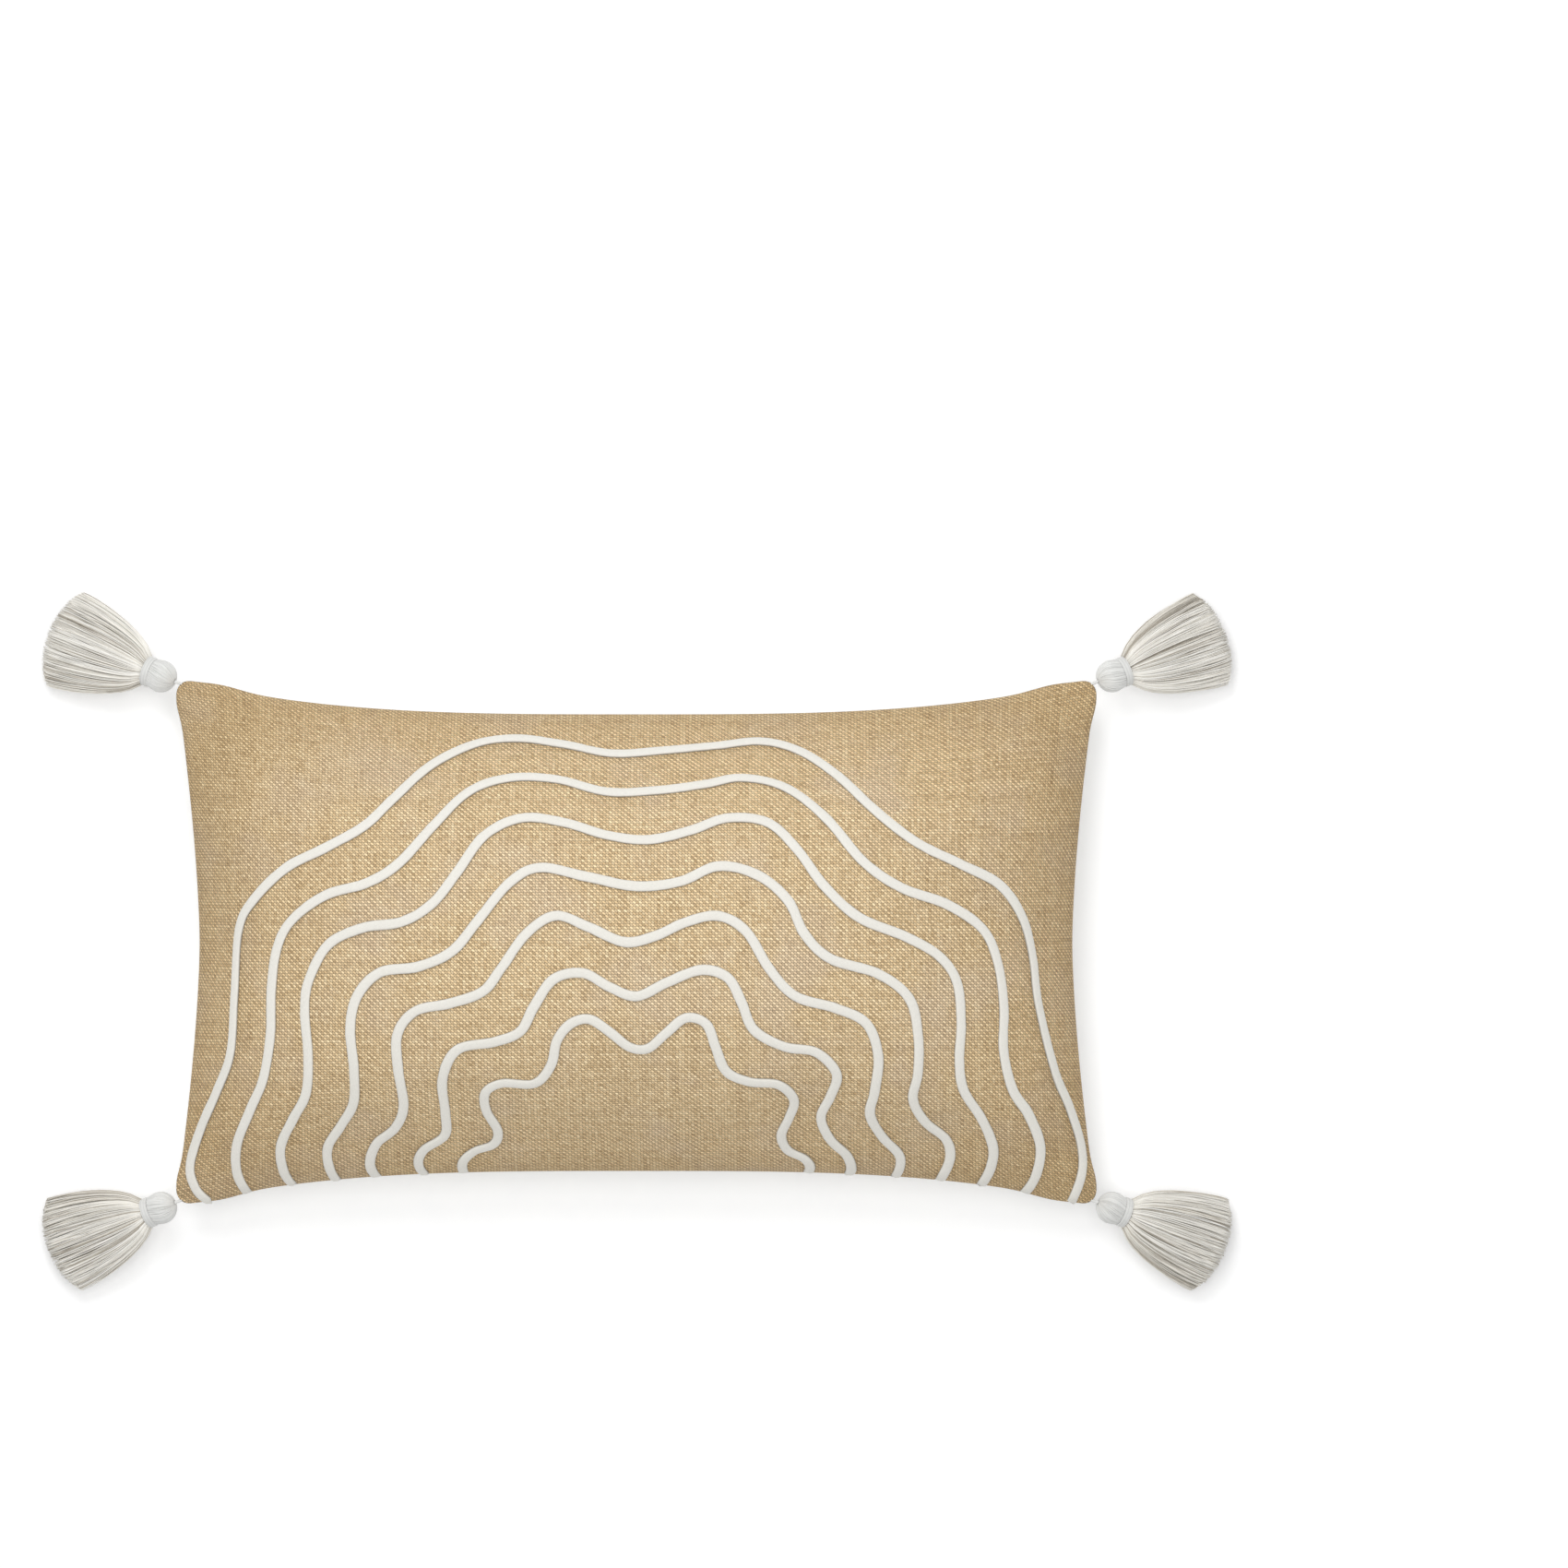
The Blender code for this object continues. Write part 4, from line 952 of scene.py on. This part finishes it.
def with_core(name, yarns, core, core_shade, look):
    """Adds yarns, as their points, faces, shades and coordinates, together with a closed core of rings."""
    points, faces, shade, coordinate = yarns
    ids = np.arange(core.shape[0] * core.shape[1]).reshape(1, *core.shape[:2]) + len(points)
    core = core.reshape(-1, 3)
    points, faces = np.concatenate([points, core]), faces + tube_faces(ids)
    shade = np.concatenate([shade, np.full(len(core), core_shade)])
    strand = np.concatenate([coordinate, core * 900])
    return add_object(name, points, faces, look, attributes={"shade": shade, "strand": strand})


def wavy_rows(rng, rows, count, size):
    """Smooth random lines, one in each row."""
    phase, speed = rng.uniform(0, 2 * math.pi, (rows, 1)), rng.uniform(3, 7, (rows, 1))
    return size * np.sin(phase + speed * np.linspace(0, 1, count))


def head_profile(polar, radius):
    """The ball's outline by the angle from its axis: round, but nearly straight into the neck."""
    along, off = radius * np.cos(polar), radius * np.sin(polar)
    under_neck = NECK_RADIUS - 0.4 * MM
    fuller = under_neck + (radius - under_neck) * (1 - smoothstep(0, 7 * MM, along))
    return along, np.where(along > 0, np.maximum(off, fuller), off)


def make_head(corner, at):
    """The ball: yarns laid side by side over it from the string to the neck, with a slight swirl."""
    rng = np.random.default_rng(sorted(CORNERS).index(corner) + 31)
    yarns, length, sides = HEAD_YARNS, 17, 6
    polar = np.linspace(math.radians(172), math.radians(50), length)
    turn = 2 * math.pi * (np.arange(yarns) + rng.uniform(-0.3, 0.3, yarns))[:, None] / yarns
    turn = turn + 0.5 * np.linspace(0, 1, length) + wavy_rows(rng, yarns, length, 0.03)
    radius = HEAD_RADIUS - 0.55 * MM
    along, off = head_profile(polar, radius)
    paths = place_in(at, np.broadcast_to(along, turn.shape), off * np.cos(turn), off * np.sin(turn))
    radii = np.broadcast_to(0.18 * MM + 0.36 * MM * np.sin(polar), paths.shape[:2])
    points, faces = tubes(paths, radii, sides)
    shade = np.repeat(rng.uniform(0.25, 0.85, yarns), length * sides)
    lengthwise = np.tile(np.repeat(np.linspace(0, 6, length), sides), yarns)
    coordinate = np.stack([shade * 90, lengthwise, 0 * shade], axis=-1)
    rings = np.linspace(math.radians(176), math.radians(48), 24)[:, None]
    turns = 2 * math.pi * np.arange(40) / 40
    along, off = head_profile(rings, radius - 0.15 * MM)
    core = place_in(at, along, off * np.cos(turns), off * np.sin(turns))
    return with_core(f"tassel_head_{corner}", (points, faces, shade, coordinate), core, 0.15, HEAD_YARN)


def make_neck(corner, at):
    """Yarn wound tightly round the neck."""
    turns, per_turn, sides = 7, 28, 8
    t = np.linspace(0, turns, turns * per_turn + 1)
    along = 6.8 * MM + t * 0.64 * MM
    radius = NECK_RADIUS + 0.15 * MM * np.sin(math.pi * t / turns)
    path = place_in(at, along, radius * np.cos(2 * math.pi * t), radius * np.sin(2 * math.pi * t))[None]
    points, faces = tubes(path, np.full(path.shape[:2], 0.42 * MM), sides)
    shade = np.repeat(0.38 + 0.2 * np.sin(t * 2.1), sides)
    lengthwise, around = np.repeat(t * 40, sides), np.tile(np.arange(sides) * 1.5, len(t))
    attributes = {"shade": shade, "strand": np.stack([lengthwise, around, 0 * shade], axis=-1)}
    return add_object(f"tassel_neck_{corner}", points, faces, HEAD_YARN, attributes=attributes)


def make_string(corner, at):
    """Two plies twisted into the short string between the corner and the head."""
    start, level, head, axis, wide, _ = at
    t = np.linspace(0, 1, 40)[:, None]
    middle = (start - level * MM) * (1 - t) + (head - axis * (HEAD_RADIUS - 0.6 * MM)) * t
    up = np.cross(wide, level)
    angles = [phase + t * 2.5 * 2 * math.pi for phase in (0, math.pi)]
    paths = np.stack([middle + 0.55 * MM * (wide * np.cos(angle) + up * np.sin(angle)) for angle in angles])
    points, faces = tubes(paths, np.full(paths.shape[:2], 0.62 * MM), 8)
    attributes = {"shade": np.full(len(points), 0.6), "strand": points * 1500}
    return add_object(f"tassel_string_{corner}", points, faces, HEAD_YARN, attributes=attributes)


# ---------------------------------------------------------------- the whole


def settle_piece(piece, body, slot, *nodes):
    """Puts a piece on its body in place of the part's nodes. The slot is not used."""
    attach(piece, body)
    if nodes:
        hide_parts(*nodes)
    return piece


def make_pillow():
    face = settle_piece(make_front(), "pillow", "jute", "front_panel")
    for number, route in enumerate(CORD_ROUTES_MM, 1):
        settle_piece(make_cord(number, route), "pillow", "cord_cotton", f"applique_cord_{number}")
    for name, side, rows in (("lower", -1, 100), ("upper", 1, 34)):
        panel = make_back(f"cotton_back_{name}", side, rows)
        settle_piece(panel, "pillow", "back_cotton", f"back_panel_{name}")
    settle_piece(make_edge_seam(), "pillow", "back_cotton", "edge_seam")
    front, back, fill = make_insert()
    settle_piece(front, "pillow", "insert_cotton", "insert_case_front")
    settle_piece(back, "pillow", "insert_cotton", "insert_case_back")
    settle_piece(fill, "pillow", "fibre", "fibre_fill")
    flap = settle_piece(make_flap(), "pillow", "back_cotton", "placket_flap")
    settle_piece(make_flap_stitches(), "pillow", "back_cotton")
    for name, look in (("zip_tape", ZIP_TAPE), ("zip_coil", ZIP_COIL)):
        for side in ("upper", "lower"):
            dress(f"{name}_{side}", look)
    for name in ("zip_stop_left", "zip_stop_right", "zip_slider", "zip_pull"):
        dress(name, ZIP_METAL)


def dress(node, look):
    """Gives a node of the part that stays its finished material."""
    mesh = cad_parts[node].data
    mesh.materials.clear()
    mesh.materials.append(look)


def make_tassels():
    for corner, sides in CORNERS.items():
        at = tassel_frame(*sides)
        body = f"tassel_{corner}"
        settle_piece(make_string(corner, at), f"{body}_string", "tassel_head_yarn", f"{body}_string")
        settle_piece(make_head(corner, at), body, "tassel_head_yarn", f"{body}_head")
        settle_piece(make_neck(corner, at), body, "tassel_head_yarn", f"{body}_neck_wrap")
        settle_piece(make_skirt(corner, at), body, "tassel_yarn", f"{body}_skirt")


def make_stage():
    look = Look("pale_floor", roughness=0.9)
    grain = look.noise(look.place(), 40.0, 2.0)
    paper = look.done(look.mix(look.remap(grain, 0.3, 0.7), (0.955, 0.955, 0.96), (0.965, 0.965, 0.965)))
    look.shader.inputs["Emission Color"].default_value = (1, 1, 1, 1)
    look.shader.inputs["Emission Strength"].default_value = FLOOR_GLOW
    corners = [(FLOOR_SIZE * x, FLOOR_SIZE * y, 0) for x, y in ((-1, -1), (1, -1), (1, 1), (-1, 1))]
    add_object("floor", corners, [(0, 1, 2, 3)], paper, smooth=False)


def make_light():
    """A soft dome, with the lamps."""
    world = bpy.data.worlds.new("studio")
    world.use_nodes = True
    background = world.node_tree.nodes["Background"]
    background.inputs["Color"].default_value = SKY_COLOR
    background.inputs["Strength"].default_value = SKY_STRENGTH
    bpy.context.scene.world = world
    for name, (place, size, power) in LAMPS.items():
        data = bpy.data.lights.new(name, "AREA")
        data.shape, data.size, data.energy = "DISK", size, power
        lamp = bpy.data.objects.new(name, data)
        bpy.context.scene.collection.objects.link(lamp)
        lamp.location = place
        lamp.rotation_mode = "QUATERNION"
        lamp.rotation_quaternion = (-Vector(place)).to_track_quat("-Z", "Y")
    bpy.context.scene.view_settings.view_transform = "Standard"


def make_camera():
    data = bpy.data.cameras.new("camera")
    data.lens, data.sensor_width = LENS, SENSOR
    camera = bpy.data.objects.new("camera", data)
    bpy.context.scene.collection.objects.link(camera)
    distance = VIEW_WIDTH * LENS / SENSOR
    camera.location = (VIEW_X, VIEW_Y, SEAM_HEIGHT + distance)
    data.clip_start, data.clip_end = 0.1, 100
    bpy.context.scene.camera = camera


make_camera()
make_light()
make_stage()
make_pillow()
make_tassels()
